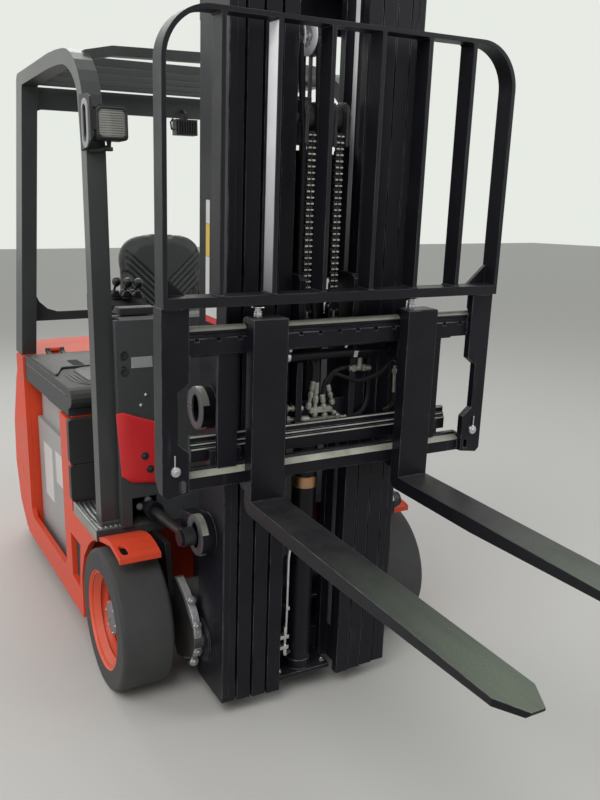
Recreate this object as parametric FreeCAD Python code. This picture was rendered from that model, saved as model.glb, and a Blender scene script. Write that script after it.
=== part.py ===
import FreeCAD, Part
import math
import os

V = FreeCAD.Vector

# Frame: X across (the +X side is the truck's own left), Y from the fork tips back to the
# counterweight, Z up from the floor. Dimensions in mm. Inside this file Y is counted from the
# plane where the fork shanks bear; every solid is moved by SHIFT_Y when written, so that Y = 0
# is the middle of the whole length. Mast, carriage and forks are described upright and are
# leaned forward by MAST_TILT about the front axle when written.
MAST_TILT = 2.9

SEAT_GAP = 0.3          # between faces that rest on each other
RUN_GAP = 0.05          # radial, between a pin or rod and its bore

# forks
FORK_TOP = 780.0        # top of the blade
FORK_THICK = 40.0
FORK_WIDTH = 100.0
FORK_REACH = 1031.0     # blade length in front of the shank
SHANK_RISE = 495.0
FORK_TAPER = 700.0      # length of the blade's thinning underside
FORK_TIP_T = 14.0
FORK_RIGHT_X = -231.0
FORK_LEFT_X = 251.0
FORK_TIP_Y = -FORK_THICK - FORK_REACH

# sideshifting frame
BAR_HALF = 452.0
BAR_T = 34.0
UPPER_BOTTOM = 1185.0
UPPER_SHOULDER = 1227.0
UPPER_TOP = 1258.0
LIP_R = 13.0
LOWER_BOTTOM = 824.0
LOWER_TOP = 878.0
SIDE_IN = 447.0
SIDE_OUT = 520.0
SIDE_FRONT = -16.0
SIDE_T = 22.0
SIDE_FLANGE = 12.0
SIDE_DEPTH = 57.0
SIDE_BOTTOM = 815.0

# load backrest
REST_HALF = 520.0
REST_TOP = 2003.0
REST_RADIUS = 125.0
REST_BAR_T = 12.0
REST_BAR_D = 57.0
REST_Y = -31.0
CROSS_TOP = 1337.0
CROSS_H = 26.0
REST_PITCH = 147.0      # between inner bars

# carriage
CARR_Y0 = BAR_T + 7.0
CARR_Y1 = CARR_Y0 + 22.0
CARR_HALF = 420.0
CARR_LOW_Z0 = 886.0
CARR_LOW_Z1 = 954.0
CARR_UP_Z0 = 1172.0
CARR_UP_Z1 = 1224.0
CARR_SIDE_TOP = 1370.0
CARR_SIDE_T = 18.0
CARR_ROLLERS = (935.0, 1315.0)

# sideshift cylinder
SHIFT_CYL_Y = 62.0
SHIFT_CYL_Z = CARR_UP_Z0 - 24.0
SHIFT_CYL_R = 15.0
SHIFT_ROD_R = 9.0
SHIFT_CYL_X0 = -135.0
SHIFT_CYL_X1 = 95.0
SHIFT_LUG_X = 215.0
SHIFT_STROKE = 100.0     # to each side

# mast
MAST_HALF = 294.0
MAST_FRONT = 106.0
MAST_BOTTOM = 71.0
MAST_TOP = 2230.0
OUTER_TOP = MAST_TOP - 100.0
RAIL_PITCH = 49.0
RAIL_FLANGE = 43.0
RAIL_DEPTH = 190.0
DEPTH_STEP = 20.0       # each inner stage ends this much further forward
FRONT_STEP = 4.0        # and starts this much further forward
FLANGE_T = 26.0
WEB_T = 14.0
CROSSMEMBER_T = 14.0
ROLLER_GAP = 0.5
ROLLER_Z = (150.0, 600.0)

# mast pivot, upright position
PIVOT_Y = 262.0
PIVOT_Z = 212.0
PIVOT_PIN_R = 30.0
PIVOT_BOSS_R = 68.0
BEARING_X0 = 302.0
BEARING_X1 = 332.0

# lift cylinders
LIFT_X = 222.0
LIFT_Y = 350.0
LIFT_R = 34.0
LIFT_ROD_R = 22.0
LIFT_BARREL_TOP = OUTER_TOP - 570.0
FREE_Y = 168.0
FREE_R = 38.0
FREE_GLAND_R = 40.0
FREE_ROD_R = 25.0
FREE_TOP = OUTER_TOP - 790.0

# crosshead and chains
HEAD_BOTTOM = 1712.0
HEAD_TOP = 1824.0
HEAD_HALF = 66.0
HEAD_SHOULDER = 76.0
CHAIN_X = 44.0
CHAIN_W = 26.0
CHAIN_T = 16.0
CHAIN_Y = 124.0
CHAIN_LOW = 1290.0
SHEAVE_R = 36.0

# tilt cylinders: eye on the mast in the upright position, pin on the chassis
TILT_X = 362.0
TILT_EYE_Y = 215.0
TILT_EYE_Z = 590.0
TILT_PIN_Y = 815.0
TILT_PIN_Z = 545.0
TILT_BARREL_R = 26.0
TILT_ROD_R = 15.0
TILT_PIN_R = 12.0
TILT_PLAY = 1.2         # spherical eye on the mast's pin
TILT_LUG_R = 62.0
TILT_LUG_HOLE = 42.0

# axles and wheels
AXLE_Y = 473.0
TYRE_R = 229.0
TYRE_W = 165.0
WHEEL_FACE = 553.0      # outer face of the drive tyres
RIM_R = 161.0
AXLE_TUBE_R = 75.0
STUB_R = 32.0
HUB_CAP_R = 54.0
WHEELBASE = 1430.0
REAR_Y = AXLE_Y + WHEELBASE
STEER_TYRE_R = 190.0
STEER_TYRE_W = 100.0
STEER_GAP = 30.0        # between the twin tyres
STEER_RIM_R = 120.0
STEER_SHAFT_R = 20.0
BOGIE_TOP = 399.7
BOGIE_R = 90.0
SPIGOT_R = 40.0
WHEEL_WELL_R = 236.0

# chassis
BODY_HALF = 538.0
PLATE_T = 20.0
SILL_BOTTOM = 95.0
FLOOR_Z = 500.0
FLOOR_T = 31.7
STEP_FRONT = 549.0
STEP_REAR = 854.0
POST_FRONT = 868.0
BAY_FRONT = 1000.0
BAY_REAR = 1630.0
BAY_SILL = 200.0
POST_TOP = 797.0
FRAME_REAR = 1768.0
FRAME_TOP = 905.0
LONGERON_X = 333.0
LONGERON_T = 18.0
CW_FRONT = FRAME_REAR + 6.0
CW_TOP = FRAME_TOP
CW_REAR = 2170.0
BATTERY_HALF = BODY_HALF - 46.0
BATTERY_TOP = 766.0

# hood and seat
HOOD_BOTTOM = 808.0
HOOD_TOP = HOOD_BOTTOM + 103.0
HOOD_HALF = BODY_HALF - 8.0
HOOD_WALL = 9.0
HOOD_REAR = 1628.0
HINGE_Y = 1642.0
HINGE_Z = HOOD_TOP + 14.0
HINGE_X = 400.0
HINGE_R = 9.0
HINGE_PIN_R = 4.0
SEAT_X = 20.0
SEAT_HALF = 200.0
SEAT_BASE_TOP = HOOD_TOP + 99.0
CUSHION_TOP = SEAT_BASE_TOP + 100.0
SEAT_BACK_TOP = CUSHION_TOP + 324.0
POD_TOP = CUSHION_TOP + 106.0       # armrest console

# overhead guard
GUARD_HALF = BODY_HALF - 38.0   # outer face at the roof
GUARD_FOOT = BODY_HALF - 26.0   # outer face at the floor
GUARD_TOP = 2029.0
GUARD_LEG = 60.0
GUARD_RAIL_Z = GUARD_TOP - 49.0
PILLAR_FOOT_X = BODY_HALF - 8.0
ROOF_BAR_Y = (955.0, 1110.0, 1255.0, 1400.0, 1520.0)

# cowl
COWL_Y = 540.0
COWL_HALF = BODY_HALF - 83.0
COWL_WALL = 12.0
COWL_TOP = 1180.0
COWL_HOLE_X0 = 335.0
COWL_HOLE_X1 = 420.0
COWL_HOLE_TOP = 609.0

# steering wheel
COLUMN_X = 100.0
COLUMN_Y = 745.0
COLUMN_Z = 1290.0
COLUMN_LEAN = 25.0
STEERING_R = 140.0
STEERING_RIM = 13.0

TILT_SIN = math.sin(math.radians(MAST_TILT))
TILT_COS = math.cos(math.radians(MAST_TILT))


def lean(y, z):
    """Where a point of the upright mast lies when the mast is leaned as shown."""
    dy, dz = y - AXLE_Y, z - TYRE_R
    return AXLE_Y + dy * TILT_COS - dz * TILT_SIN, TYRE_R + dy * TILT_SIN + dz * TILT_COS


SHIFT_Y = -(lean(FORK_TIP_Y, FORK_TOP)[0] + CW_REAR) / 2.0


# shapes

def box(x0, x1, y0, y1, z0, z1):
    return Part.makeBox(x1 - x0, y1 - y0, z1 - z0, V(x0, y0, z0))


def cyl_x(x0, x1, y, z, r):
    return Part.makeCylinder(r, x1 - x0, V(x0, y, z), V(1, 0, 0))


def cyl_y(x, y0, y1, z, r):
    return Part.makeCylinder(r, y1 - y0, V(x, y0, z), V(0, 1, 0))


def cyl_z(x, y, z0, z1, r):
    return Part.makeCylinder(r, z1 - z0, V(x, y, z0), V(0, 0, 1))


def rod(p, q, r):
    p, q = V(*p), V(*q)
    return Part.makeCylinder(r, (q - p).Length, p, q - p)


def ring_x(x0, x1, y, z, r_out, r_in):
    return cyl_x(x0, x1, y, z, r_out).cut(cyl_x(x0 - 1, x1 + 1, y, z, r_in))


def slab_yz(points, x0, x1):
    """A plate from (y, z) points, between two x values."""
    wire = Part.makePolygon([V(x0, y, z) for y, z in points] + [V(x0, *points[0])])
    return Part.Face(wire).extrude(V(x1 - x0, 0, 0))


def slab_xz(points, y0, y1):
    """A plate from (x, z) points, between two y values."""
    points = list(points)
    wire = Part.makePolygon([V(x, y0, z) for x, z in points + points[:1]])
    return Part.Face(wire).extrude(V(0, y1 - y0, 0))


def slab_xy(points, z0, z1):
    """A plate from (x, y) points, between two z values."""
    points = list(points)
    wire = Part.makePolygon([V(x, y, z0) for x, y in points + points[:1]])
    return Part.Face(wire).extrude(V(0, 0, z1 - z0))


def fuse(items):
    items = list(items)
    out = items[0]
    if len(items) > 1:
        out = out.fuse(items[1:])
    return out.removeSplitter()


def cut(shape, tools):
    for tool in tools:
        shape = shape.cut(tool)
    return shape


def mirror(shape):
    return shape.mirror(V(0, 0, 0), V(1, 0, 0))


def both(shape):
    return [shape, mirror(shape)]


def on_side(s, x0, x1):
    """Two x values given for the +X side, ordered for side s."""
    return tuple(sorted((s * x0, s * x1)))


def fillet_edges(shape, radius, test):
    edges = [e for e in shape.Edges if test(e.BoundBox)]
    return shape.makeFillet(radius, edges) if edges else shape


def is_upright(b):
    return b.ZLength > 5 and b.XLength < 0.01 and b.YLength < 0.01


# forks

def fork(xc):
    x0, x1 = xc - FORK_WIDTH / 2, xc + FORK_WIDTH / 2
    top, under, heel, tip = FORK_TOP, FORK_TOP - FORK_THICK, -FORK_THICK, FORK_TIP_Y
    profile = [(0, under + 26), (0, top + SHANK_RISE), (heel, top + SHANK_RISE), (heel, top),
               (tip, top), (tip, top - 5), (tip + 8, top - FORK_TIP_T),
               (tip + FORK_TAPER, under), (-26, under), (-8, under + 8)]
    body = slab_yz(profile, x0, x1)
    for s in (-1, 1):
        edge = xc + s * FORK_WIDTH / 2
        corner = [(edge, tip + 62), (edge + s * 5, tip + 62), (edge + s * 5, tip - 5),
                  (edge - s * 34, tip - 5), (edge - s * 34, tip)]
        body = body.cut(slab_xy(corner, under - 5, top + 5))
    hook = [(-2, UPPER_TOP + SEAT_GAP), (-2, top + SHANK_RISE), (20, top + SHANK_RISE),
            (33, top + SHANK_RISE - 8), (35, 1236), (27.5, 1236), (27.5, UPPER_TOP + SEAT_GAP)]
    low = [(-2, LOWER_BOTTOM - 26), (-2, LOWER_BOTTOM - SEAT_GAP), (27, LOWER_BOTTOM - SEAT_GAP),
           (27, LOWER_BOTTOM + 12), (35, LOWER_BOTTOM + 12), (35, LOWER_BOTTOM - 20),
           (29, LOWER_BOTTOM - 26)]
    return fuse([body, slab_yz(hook, x0 + 3, x1 - 3), slab_yz(low, x0 + 3, x1 - 3)])


# sideshifting frame and load backrest

def upper_bar():
    lip_z = UPPER_TOP - LIP_R
    bar = box(-BAR_HALF, BAR_HALF, SEAT_GAP, BAR_T, UPPER_BOTTOM, UPPER_SHOULDER)
    neck = box(-BAR_HALF, BAR_HALF, 4, 4 + 2 * LIP_R - 4, UPPER_SHOULDER - 2, lip_z)
    lip = cyl_x(-BAR_HALF, BAR_HALF, SEAT_GAP + LIP_R, lip_z, LIP_R)
    bar = fuse([bar, neck, lip])
    for x in range(-420, 421, 60):
        bar = bar.cut(box(x - 6, x + 6, -1, 10, UPPER_SHOULDER - 8, UPPER_SHOULDER + 1))
    return bar


def lower_bar():
    profile = [(SEAT_GAP, LOWER_BOTTOM), (SEAT_GAP, LOWER_TOP - 20), (18, LOWER_TOP),
               (BAR_T, LOWER_TOP), (BAR_T, LOWER_BOTTOM + 14), (26, LOWER_BOTTOM + 14),
               (26, LOWER_BOTTOM)]
    return slab_yz(profile, -BAR_HALF, BAR_HALF)


def side_member():
    top = CROSS_TOP - CROSS_H - SEAT_GAP
    y0, y1 = SIDE_FRONT, SIDE_FRONT + SIDE_T
    face = [(SIDE_IN, SIDE_BOTTOM + 9), (SIDE_IN, 934), (SIDE_IN + 30, 960), (SIDE_IN + 30, 1096),
            (SIDE_IN, 1118), (SIDE_IN, top), (SIDE_OUT, top), (SIDE_OUT, SIDE_BOTTOM + 12),
            (SIDE_OUT - 12, SIDE_BOTTOM)]
    plate = slab_xz(face, y0, y1)
    flange = [(y0, top), (y0 + SIDE_DEPTH, top), (y0 + SIDE_DEPTH, SIDE_BOTTOM + 40),
              (y0 + SIDE_DEPTH - 30, SIDE_BOTTOM + 12), (y0, SIDE_BOTTOM + 12)]
    plate = plate.fuse(slab_yz(flange, SIDE_OUT - SIDE_FLANGE, SIDE_OUT))
    slot = [cyl_y(SIDE_IN + 18, y0 - 1, y1 + 1, z, 8) for z in (836, 852)]
    return cut(plate, slot + [box(SIDE_IN + 10, SIDE_IN + 26, y0 - 1, y1 + 1, 836, 852)])


def sideshift_frame():
    items = [upper_bar(), lower_bar()] + both(side_member())
    for x in (-330.0, 330.0):
        items.append(box(x - 28, x + 28, 8, 20, LOWER_TOP - 5, UPPER_BOTTOM + 5))
        items.append(box(x - 45, x + 45, BAR_T - 2, CARR_Y0 - SEAT_GAP, CARR_UP_Z0 + 4, CARR_UP_Z0 + 48))
        items.append(box(x - 45, x + 45, 18, CARR_Y0 - SEAT_GAP, CARR_LOW_Z0 + 4, CARR_LOW_Z0 + 34))
        items.append(box(x - 45, x + 45, 18, BAR_T, LOWER_TOP - 5, CARR_LOW_Z0 + 34))
    lug = box(SHIFT_LUG_X - 8, SHIFT_LUG_X + 8, BAR_T - 22, SHIFT_CYL_Y + 13, SHIFT_CYL_Z - 17, SHIFT_CYL_Z + 17)
    hanger = box(SHIFT_LUG_X - 8, SHIFT_LUG_X + 8, BAR_T - 22, BAR_T, SHIFT_CYL_Z + 10, UPPER_BOTTOM + 6)
    shaft = cyl_x(SHIFT_CYL_X0 + 10 + SHIFT_STROKE + 5, SHIFT_LUG_X, SHIFT_CYL_Y, SHIFT_CYL_Z, SHIFT_ROD_R)
    return fuse(items + [lug, hanger, shaft])


def hoop(half, top, radius, base, y0, y1):
    """Straight sides, flat top and rounded upper corners, as one solid plate."""
    k = radius * math.sqrt(0.5)
    left, right = -half + radius, half - radius
    edges = [Part.makeLine(V(-half, y0, base), V(-half, y0, top - radius)),
             Part.Arc(V(-half, y0, top - radius), V(left - k, y0, top - radius + k),
                      V(left, y0, top)).toShape(),
             Part.makeLine(V(left, y0, top), V(right, y0, top)),
             Part.Arc(V(right, y0, top), V(right + k, y0, top - radius + k),
                      V(half, y0, top - radius)).toShape(),
             Part.makeLine(V(half, y0, top - radius), V(half, y0, base)),
             Part.makeLine(V(half, y0, base), V(-half, y0, base))]
    return Part.Face(Part.Wire(edges)).extrude(V(0, y1 - y0, 0))


def load_backrest():
    y0, y1 = REST_Y, REST_Y + REST_BAR_D
    base = CROSS_TOP - CROSS_H
    outer = hoop(REST_HALF, REST_TOP, REST_RADIUS, base, y0, y1)
    inner = hoop(REST_HALF - REST_BAR_T, REST_TOP - REST_BAR_T, REST_RADIUS - REST_BAR_T,
                 base - 5, y0 - 1, y1 + 1)
    items = [outer.cut(inner), box(-REST_HALF, REST_HALF, y0, y1, base, CROSS_TOP)]
    for i in range(6):
        x = (i - 2.5) * REST_PITCH
        items.append(box(x - REST_BAR_T / 2, x + REST_BAR_T / 2, y0, y1, CROSS_TOP - 2, REST_TOP - 2))
    for s in (-1, 1):
        x0, x1 = on_side(s, SIDE_IN + 8, SIDE_OUT - SIDE_FLANGE - 3)
        y = SIDE_FRONT + SIDE_T + SEAT_GAP
        items.append(box(x0, x1, y, y + 14, 1262, base + 2))
        gusset = [(s * (REST_HALF - 4), CROSS_TOP - 2), (s * (REST_HALF - 4), CROSS_TOP + 62),
                  (s * (REST_HALF - 76), CROSS_TOP - 2)]
        items.append(slab_xz(gusset, y1 - 12, y1))
    return fuse(items)


# mast

def stage_size(i):
    """Outer half width, front and rear of stage i, counted from the outermost as 0."""
    front = MAST_FRONT - i * FRONT_STEP
    rear = MAST_FRONT + RAIL_DEPTH - i * DEPTH_STEP
    return MAST_HALF - i * RAIL_PITCH, front, rear


def rail(i, z0, z1):
    """A channel open toward the middle."""
    outer, front, rear = stage_size(i)
    x0 = outer - RAIL_FLANGE
    return fuse([box(x0, outer, front, front + FLANGE_T, z0, z1),
                 box(x0, outer, rear - FLANGE_T, rear, z0, z1),
                 box(outer - WEB_T, outer, front, rear, z0, z1)])


def rollers(i, heights, web_x):
    """Rollers in the channel of stage i, with stubs from the web at web_x."""
    outer, front, rear = stage_size(i)
    r = (rear - front) / 2 - FLANGE_T - ROLLER_GAP
    y = (front + rear) / 2
    items = []
    for z in heights:
        items.append(cyl_x(outer - RAIL_FLANGE + 1, outer - WEB_T - 2, y, z, r))
        items.append(cyl_x(web_x, outer - RAIL_FLANGE + 2, y, z, 18))
    return items


CROSS_LOW = (MAST_BOTTOM + 19, MAST_BOTTOM + 99)
CROSS_HIGH = (MAST_TOP - 80, MAST_TOP)
CROSS_Z = [((MAST_BOTTOM + 49, MAST_BOTTOM + 169), (1120, 1220), (OUTER_TOP - 110, OUTER_TOP)),
           (CROSS_LOW, CROSS_HIGH), (CROSS_LOW, CROSS_HIGH), (CROSS_LOW, CROSS_HIGH)]


def crossmembers(i):
    outer, front, rear = stage_size(i)
    return [box(-outer + 4, outer - 4, rear - 0.5, rear + CROSSMEMBER_T, z0, z1)
            for z0, z1 in CROSS_Z[i]]


def lug_rim(x0, x1, y, z, length):
    """A forged lug: a wide rim round a hole, running back to the rail's rear flange."""
    rim = cyl_x(x0, x1, y, z, TILT_LUG_R)
    tail = [(y, z + TILT_LUG_R), (y + length, z + TILT_LUG_R - 26), (y + length, z - TILT_LUG_R + 30),
            (y, z - TILT_LUG_R)]
    rim = rim.fuse(slab_yz(tail, x0, x1))
    return rim.cut(cyl_x(x0 - 1, x1 + 1, y, z, TILT_LUG_HOLE))


def mast_stage_outer():
    items = both(rail(0, MAST_BOTTOM, OUTER_TOP)) + crossmembers(0)
    boss = cyl_x(MAST_HALF - WEB_T, BEARING_X0 - 2, PIVOT_Y, PIVOT_Z, PIVOT_BOSS_R)
    items += both(boss)
    x1 = TILT_X - 18 - 4
    for y, z, length in ((TILT_EYE_Y, TILT_EYE_Z, 120), (TILT_EYE_Y, 982, 70)):
        items += both(lug_rim(MAST_HALF - 2, x1 - 2, y, z, length))
    pin = cyl_x(MAST_HALF - WEB_T, TILT_X + 18 + 8, TILT_EYE_Y, TILT_EYE_Z, TILT_PIN_R)
    collar = cyl_x(TILT_X + 18 + 2, TILT_X + 18 + 10, TILT_EYE_Y, TILT_EYE_Z, 24)
    items += both(pin) + both(collar)
    body = fuse(items)
    for s in (-1, 1):
        x0, x1 = on_side(s, MAST_HALF - WEB_T - 1, BEARING_X0)
        body = body.cut(cyl_x(x0, x1, PIVOT_Y, PIVOT_Z, PIVOT_PIN_R + RUN_GAP))
    return body


def mast_stage_inner(i):
    outer = stage_size(i)[0]
    side = fuse([rail(i, MAST_BOTTOM, MAST_TOP)] + rollers(i - 1, ROLLER_Z, outer - WEB_T))
    items = both(side) + crossmembers(i)
    if i == 1:
        rear = stage_size(1)[2]
        ear = box(LIFT_X - 30, LIFT_X + 30, rear - 10, LIFT_Y + 30, MAST_TOP - 30, MAST_TOP)
        items += both(ear)
    return fuse(items)


def lift_barrels():
    bore = LIFT_ROD_R + RUN_GAP
    out = []
    for s in (-1, 1):
        x = s * LIFT_X
        rear = stage_size(0)[2] + CROSSMEMBER_T + SEAT_GAP
        barrel = cyl_z(x, LIFT_Y, 122, LIFT_BARREL_TOP, LIFT_R)
        foot = box(x - 40, x + 40, rear, LIFT_Y + 38, 122, 136)
        collar = cyl_z(x, LIFT_Y, LIFT_BARREL_TOP - 40, LIFT_BARREL_TOP, LIFT_R + 5)
        strap = box(x - 40, x + 40, rear, LIFT_Y, 1150, 1190)
        body = fuse([barrel, foot, collar, strap])
        tools = [cyl_z(x, LIFT_Y, 150, LIFT_BARREL_TOP - 60, LIFT_ROD_R + 4),
                 cyl_z(x, LIFT_Y, 140, LIFT_BARREL_TOP + 1, bore)]
        out.append(cut(body, tools))
    return Part.makeCompound(out)


def lift_rods():
    return Part.makeCompound([cyl_z(s * LIFT_X, LIFT_Y, 160, MAST_TOP - 30 - SEAT_GAP, LIFT_ROD_R)
                              for s in (-1, 1)])


def free_lift_barrel():
    rear = stage_size(3)[2] - 0.5 - SEAT_GAP
    barrel = cyl_z(0, FREE_Y, 95, FREE_TOP, FREE_R)
    foot = box(-92, 92, FREE_Y - 48, rear, 84, 98)
    ring = cyl_z(0, FREE_Y, 98, 128, FREE_GLAND_R)
    gland = cyl_z(0, FREE_Y, FREE_TOP - 40, FREE_TOP, FREE_GLAND_R)
    body = fuse([barrel, foot, ring, gland])
    tools = [cyl_z(0, FREE_Y, 120, FREE_TOP - 60, FREE_ROD_R + 4),
             cyl_z(0, FREE_Y, 110, FREE_TOP + 1, FREE_ROD_R + RUN_GAP)]
    return cut(body, tools)


def crosshead():
    piston = cyl_z(0, FREE_Y, 900, HEAD_BOTTOM + 10, FREE_ROD_R)
    yoke = box(-HEAD_SHOULDER, HEAD_SHOULDER, FREE_Y - 24, FREE_Y + 26, HEAD_BOTTOM, HEAD_BOTTOM + 26)
    sheave_y = CHAIN_Y + CHAIN_T / 2 + SHEAVE_R - 4
    sheave_z = HEAD_TOP - SHEAVE_R - 4
    items = [piston, yoke]
    cheek = [(CHAIN_Y - 14, HEAD_BOTTOM), (CHAIN_Y - 14, HEAD_TOP - 18), (CHAIN_Y, HEAD_TOP),
             (FREE_Y + 10, HEAD_TOP), (FREE_Y + 26, HEAD_TOP - 24), (FREE_Y + 26, HEAD_BOTTOM)]
    for s in (-1, 1):
        items.append(slab_yz(cheek, *on_side(s, HEAD_HALF - 7, HEAD_HALF)))
        items.append(slab_yz(cheek, *on_side(s, 22, 29)))
        x0, x1 = on_side(s, CHAIN_X - CHAIN_W / 2, CHAIN_X + CHAIN_W / 2)
        items.append(cyl_x(x0, x1, sheave_y, sheave_z, SHEAVE_R))
    items.append(cyl_x(-HEAD_HALF - 4, HEAD_HALF + 4, sheave_y, sheave_z, 12))
    # hose sheaves on two uprights
    for x, z in ((-78, 1985), (-24, 1990)):
        items.append(box(x - 3, x + 3, FREE_Y + 2, FREE_Y + 14, HEAD_BOTTOM + 20, z))
        items.append(ring_x(x - 11, x + 11, FREE_Y + 8, z, 46, 30))
        items.append(box(x - 5, x + 5, FREE_Y - 26, FREE_Y + 42, z - 5, z + 5))
    items.append(box(-82, -20, FREE_Y + 2, FREE_Y + 14, HEAD_TOP, HEAD_TOP + 14))
    return fuse(items)


def lift_chains():
    return Part.makeCompound([
        box(*on_side(s, CHAIN_X - CHAIN_W / 2, CHAIN_X + CHAIN_W / 2),
            CHAIN_Y - CHAIN_T / 2, CHAIN_Y + CHAIN_T / 2, CHAIN_LOW + SEAT_GAP,
            HEAD_BOTTOM + 30) for s in (-1, 1)])


def chain_anchor(x):
    top = CHAIN_LOW
    half = CHAIN_W / 2 + 5
    y0, y1 = CHAIN_Y - 15, CHAIN_Y + 7
    block = box(x - half, x + half, y0, y1, CARR_UP_Z1 - 14, top - half)
    return block.fuse(cyl_y(x, y0, y1, top - half, half))


def carriage():
    inner_outer = stage_size(3)[0]
    x1 = inner_outer - RAIL_FLANGE - 8.0
    x0 = x1 - CARR_SIDE_T
    low = [(CARR_Y0, CARR_LOW_Z0), (CARR_Y0, CARR_LOW_Z1 - 32), (CARR_Y0 + 5, CARR_LOW_Z1 - 29),
           (CARR_Y0 + 5, CARR_LOW_Z1 - 20), (CARR_Y0 + 10, CARR_LOW_Z1 - 17),
           (CARR_Y0 + 10, CARR_LOW_Z1), (CARR_Y1, CARR_LOW_Z1), (CARR_Y1, CARR_LOW_Z0)]
    items = [slab_yz(low, -CARR_HALF, CARR_HALF),
             box(-CARR_HALF, CARR_HALF, CARR_Y0, CARR_Y1, CARR_UP_Z0, CARR_UP_Z1)]
    side = [(CARR_Y1 - 2, CARR_LOW_Z0), (CARR_Y1 - 2, CARR_SIDE_TOP - 12), (CARR_Y1 + 10, CARR_SIDE_TOP),
            (172, CARR_SIDE_TOP), (188, CARR_SIDE_TOP - 20), (188, CARR_LOW_Z0 + 20),
            (172, CARR_LOW_Z0)]
    for s in (-1, 1):
        items.append(slab_yz(side, *on_side(s, x0, x1)))
        items.append(chain_anchor(s * CHAIN_X))
    for part in rollers(3, CARR_ROLLERS, x0 + 4):
        items += both(part)
    items.append(box(-x1, x1, CARR_Y1 - 2, CHAIN_Y - 12, CARR_UP_Z1 - 14, CARR_UP_Z1 + 6))
    # bracket that holds the sideshift cylinder
    bracket = box(SHIFT_CYL_X0 - 14, SHIFT_CYL_X0 - SEAT_GAP, CARR_Y0 + 3, SHIFT_CYL_Y + 16,
                  SHIFT_CYL_Z - 16, CARR_UP_Z0 + 4)
    body = fuse(items)
    body = body.cut(cyl_x(-x1 - 1, x1 + 1, SHIFT_CYL_Y, SHIFT_CYL_Z, SHIFT_CYL_R + 5))
    return fuse([body, bracket])


def sideshift_barrel():
    barrel = cyl_x(SHIFT_CYL_X0, SHIFT_CYL_X1, SHIFT_CYL_Y, SHIFT_CYL_Z, SHIFT_CYL_R)
    tools = [cyl_x(SHIFT_CYL_X0 + 10, SHIFT_CYL_X1 - 20, SHIFT_CYL_Y, SHIFT_CYL_Z, SHIFT_ROD_R + 2),
             cyl_x(SHIFT_CYL_X0 + 40, SHIFT_CYL_X1 + 1, SHIFT_CYL_Y, SHIFT_CYL_Z, SHIFT_ROD_R + RUN_GAP)]
    return cut(barrel, tools)


# tilt cylinders

def tilt_ends():
    """Eye and pin in (y, z), and the unit direction from the eye to the pin."""
    ey, ez = lean(TILT_EYE_Y, TILT_EYE_Z)
    length = math.hypot(TILT_PIN_Y - ey, TILT_PIN_Z - ez)
    return (ey, ez), ((TILT_PIN_Y - ey) / length, (TILT_PIN_Z - ez) / length), length


def along(x, dist):
    (ey, ez), (uy, uz), length = tilt_ends()
    return (x, ey + uy * dist, ez + uz * dist)


def tilt_barrel(s):
    x = s * TILT_X
    length = tilt_ends()[2]
    body = fuse([rod(along(x, 285), along(x, length - 24), TILT_BARREL_R),
                 rod(along(x, 285), along(x, 310), TILT_BARREL_R + 4),
                 cyl_x(x - 18, x + 18, TILT_PIN_Y, TILT_PIN_Z, 26)])
    tools = [rod(along(x, 305), along(x, length - 50), TILT_ROD_R + 5),
             rod(along(x, 280), along(x, length - 60), TILT_ROD_R + RUN_GAP),
             cyl_x(x - 20, x + 20, TILT_PIN_Y, TILT_PIN_Z, TILT_PIN_R + RUN_GAP)]
    return cut(body, tools)


def tilt_rod(s):
    x = s * TILT_X
    eye_y, eye_z = tilt_ends()[0]
    body = fuse([rod(along(x, 20), along(x, 470), TILT_ROD_R),
                 cyl_x(x - 18, x + 18, eye_y, eye_z, 28)])
    return body.cut(cyl_x(x - 20, x + 20, eye_y, eye_z, TILT_PIN_R + TILT_PLAY))


# chassis

def frame_side():
    arch = [(STEP_FRONT, 468), (571, 464), (631, 436), (673, 405), (732, 347), (773, 260), (778, 235)]
    outline = arch + [(778, SILL_BOTTOM), (1723, SILL_BOTTOM), (1742, 139), (FRAME_REAR, 220),
                      (FRAME_REAR, FRAME_TOP - 14), (FRAME_REAR - 16, FRAME_TOP), (BAY_REAR, FRAME_TOP),
                      (BAY_REAR, BAY_SILL + 30), (BAY_REAR - 30, BAY_SILL), (BAY_FRONT + 30, BAY_SILL),
                      (BAY_FRONT, BAY_SILL + 30), (BAY_FRONT, POST_TOP + 6), (885, POST_TOP),
                      (POST_FRONT, POST_TOP - 22), (POST_FRONT, 468)]
    plate = slab_yz(outline, BODY_HALF - PLATE_T, BODY_HALF)
    return plate.cut(slab_yz(GRILLE, BODY_HALF - PLATE_T - 1, BODY_HALF + 1))


GRILLE = [(914, 371), (779, 370), (810, 195), (914, 203)]


def side_grille():
    x0 = BODY_HALF - PLATE_T - SEAT_GAP - 6
    grown = [(926, 383), (765, 382), (799, 183), (926, 191)]
    rim = slab_yz(grown, x0, x0 + 6).cut(slab_yz(GRILLE, x0 - 1, x0 + 7))
    field = slab_yz(grown, x0 + 1, x0 + 5)
    bars = []
    for k in range(-12, 24):
        y = 765 + k * 21.0
        for slope in (0.6, -0.6):
            shift = slope * 200
            start = y if slope > 0 else y + 120
            bars.append(slab_yz([(start, 183), (start + 4, 183), (start + 4 + shift, 383),
                                 (start + shift, 383)], x0 + 1, x0 + 5))
    return fuse([rim] + [b for b in (bar.common(field) for bar in bars) if b.Volume > 1])


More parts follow.
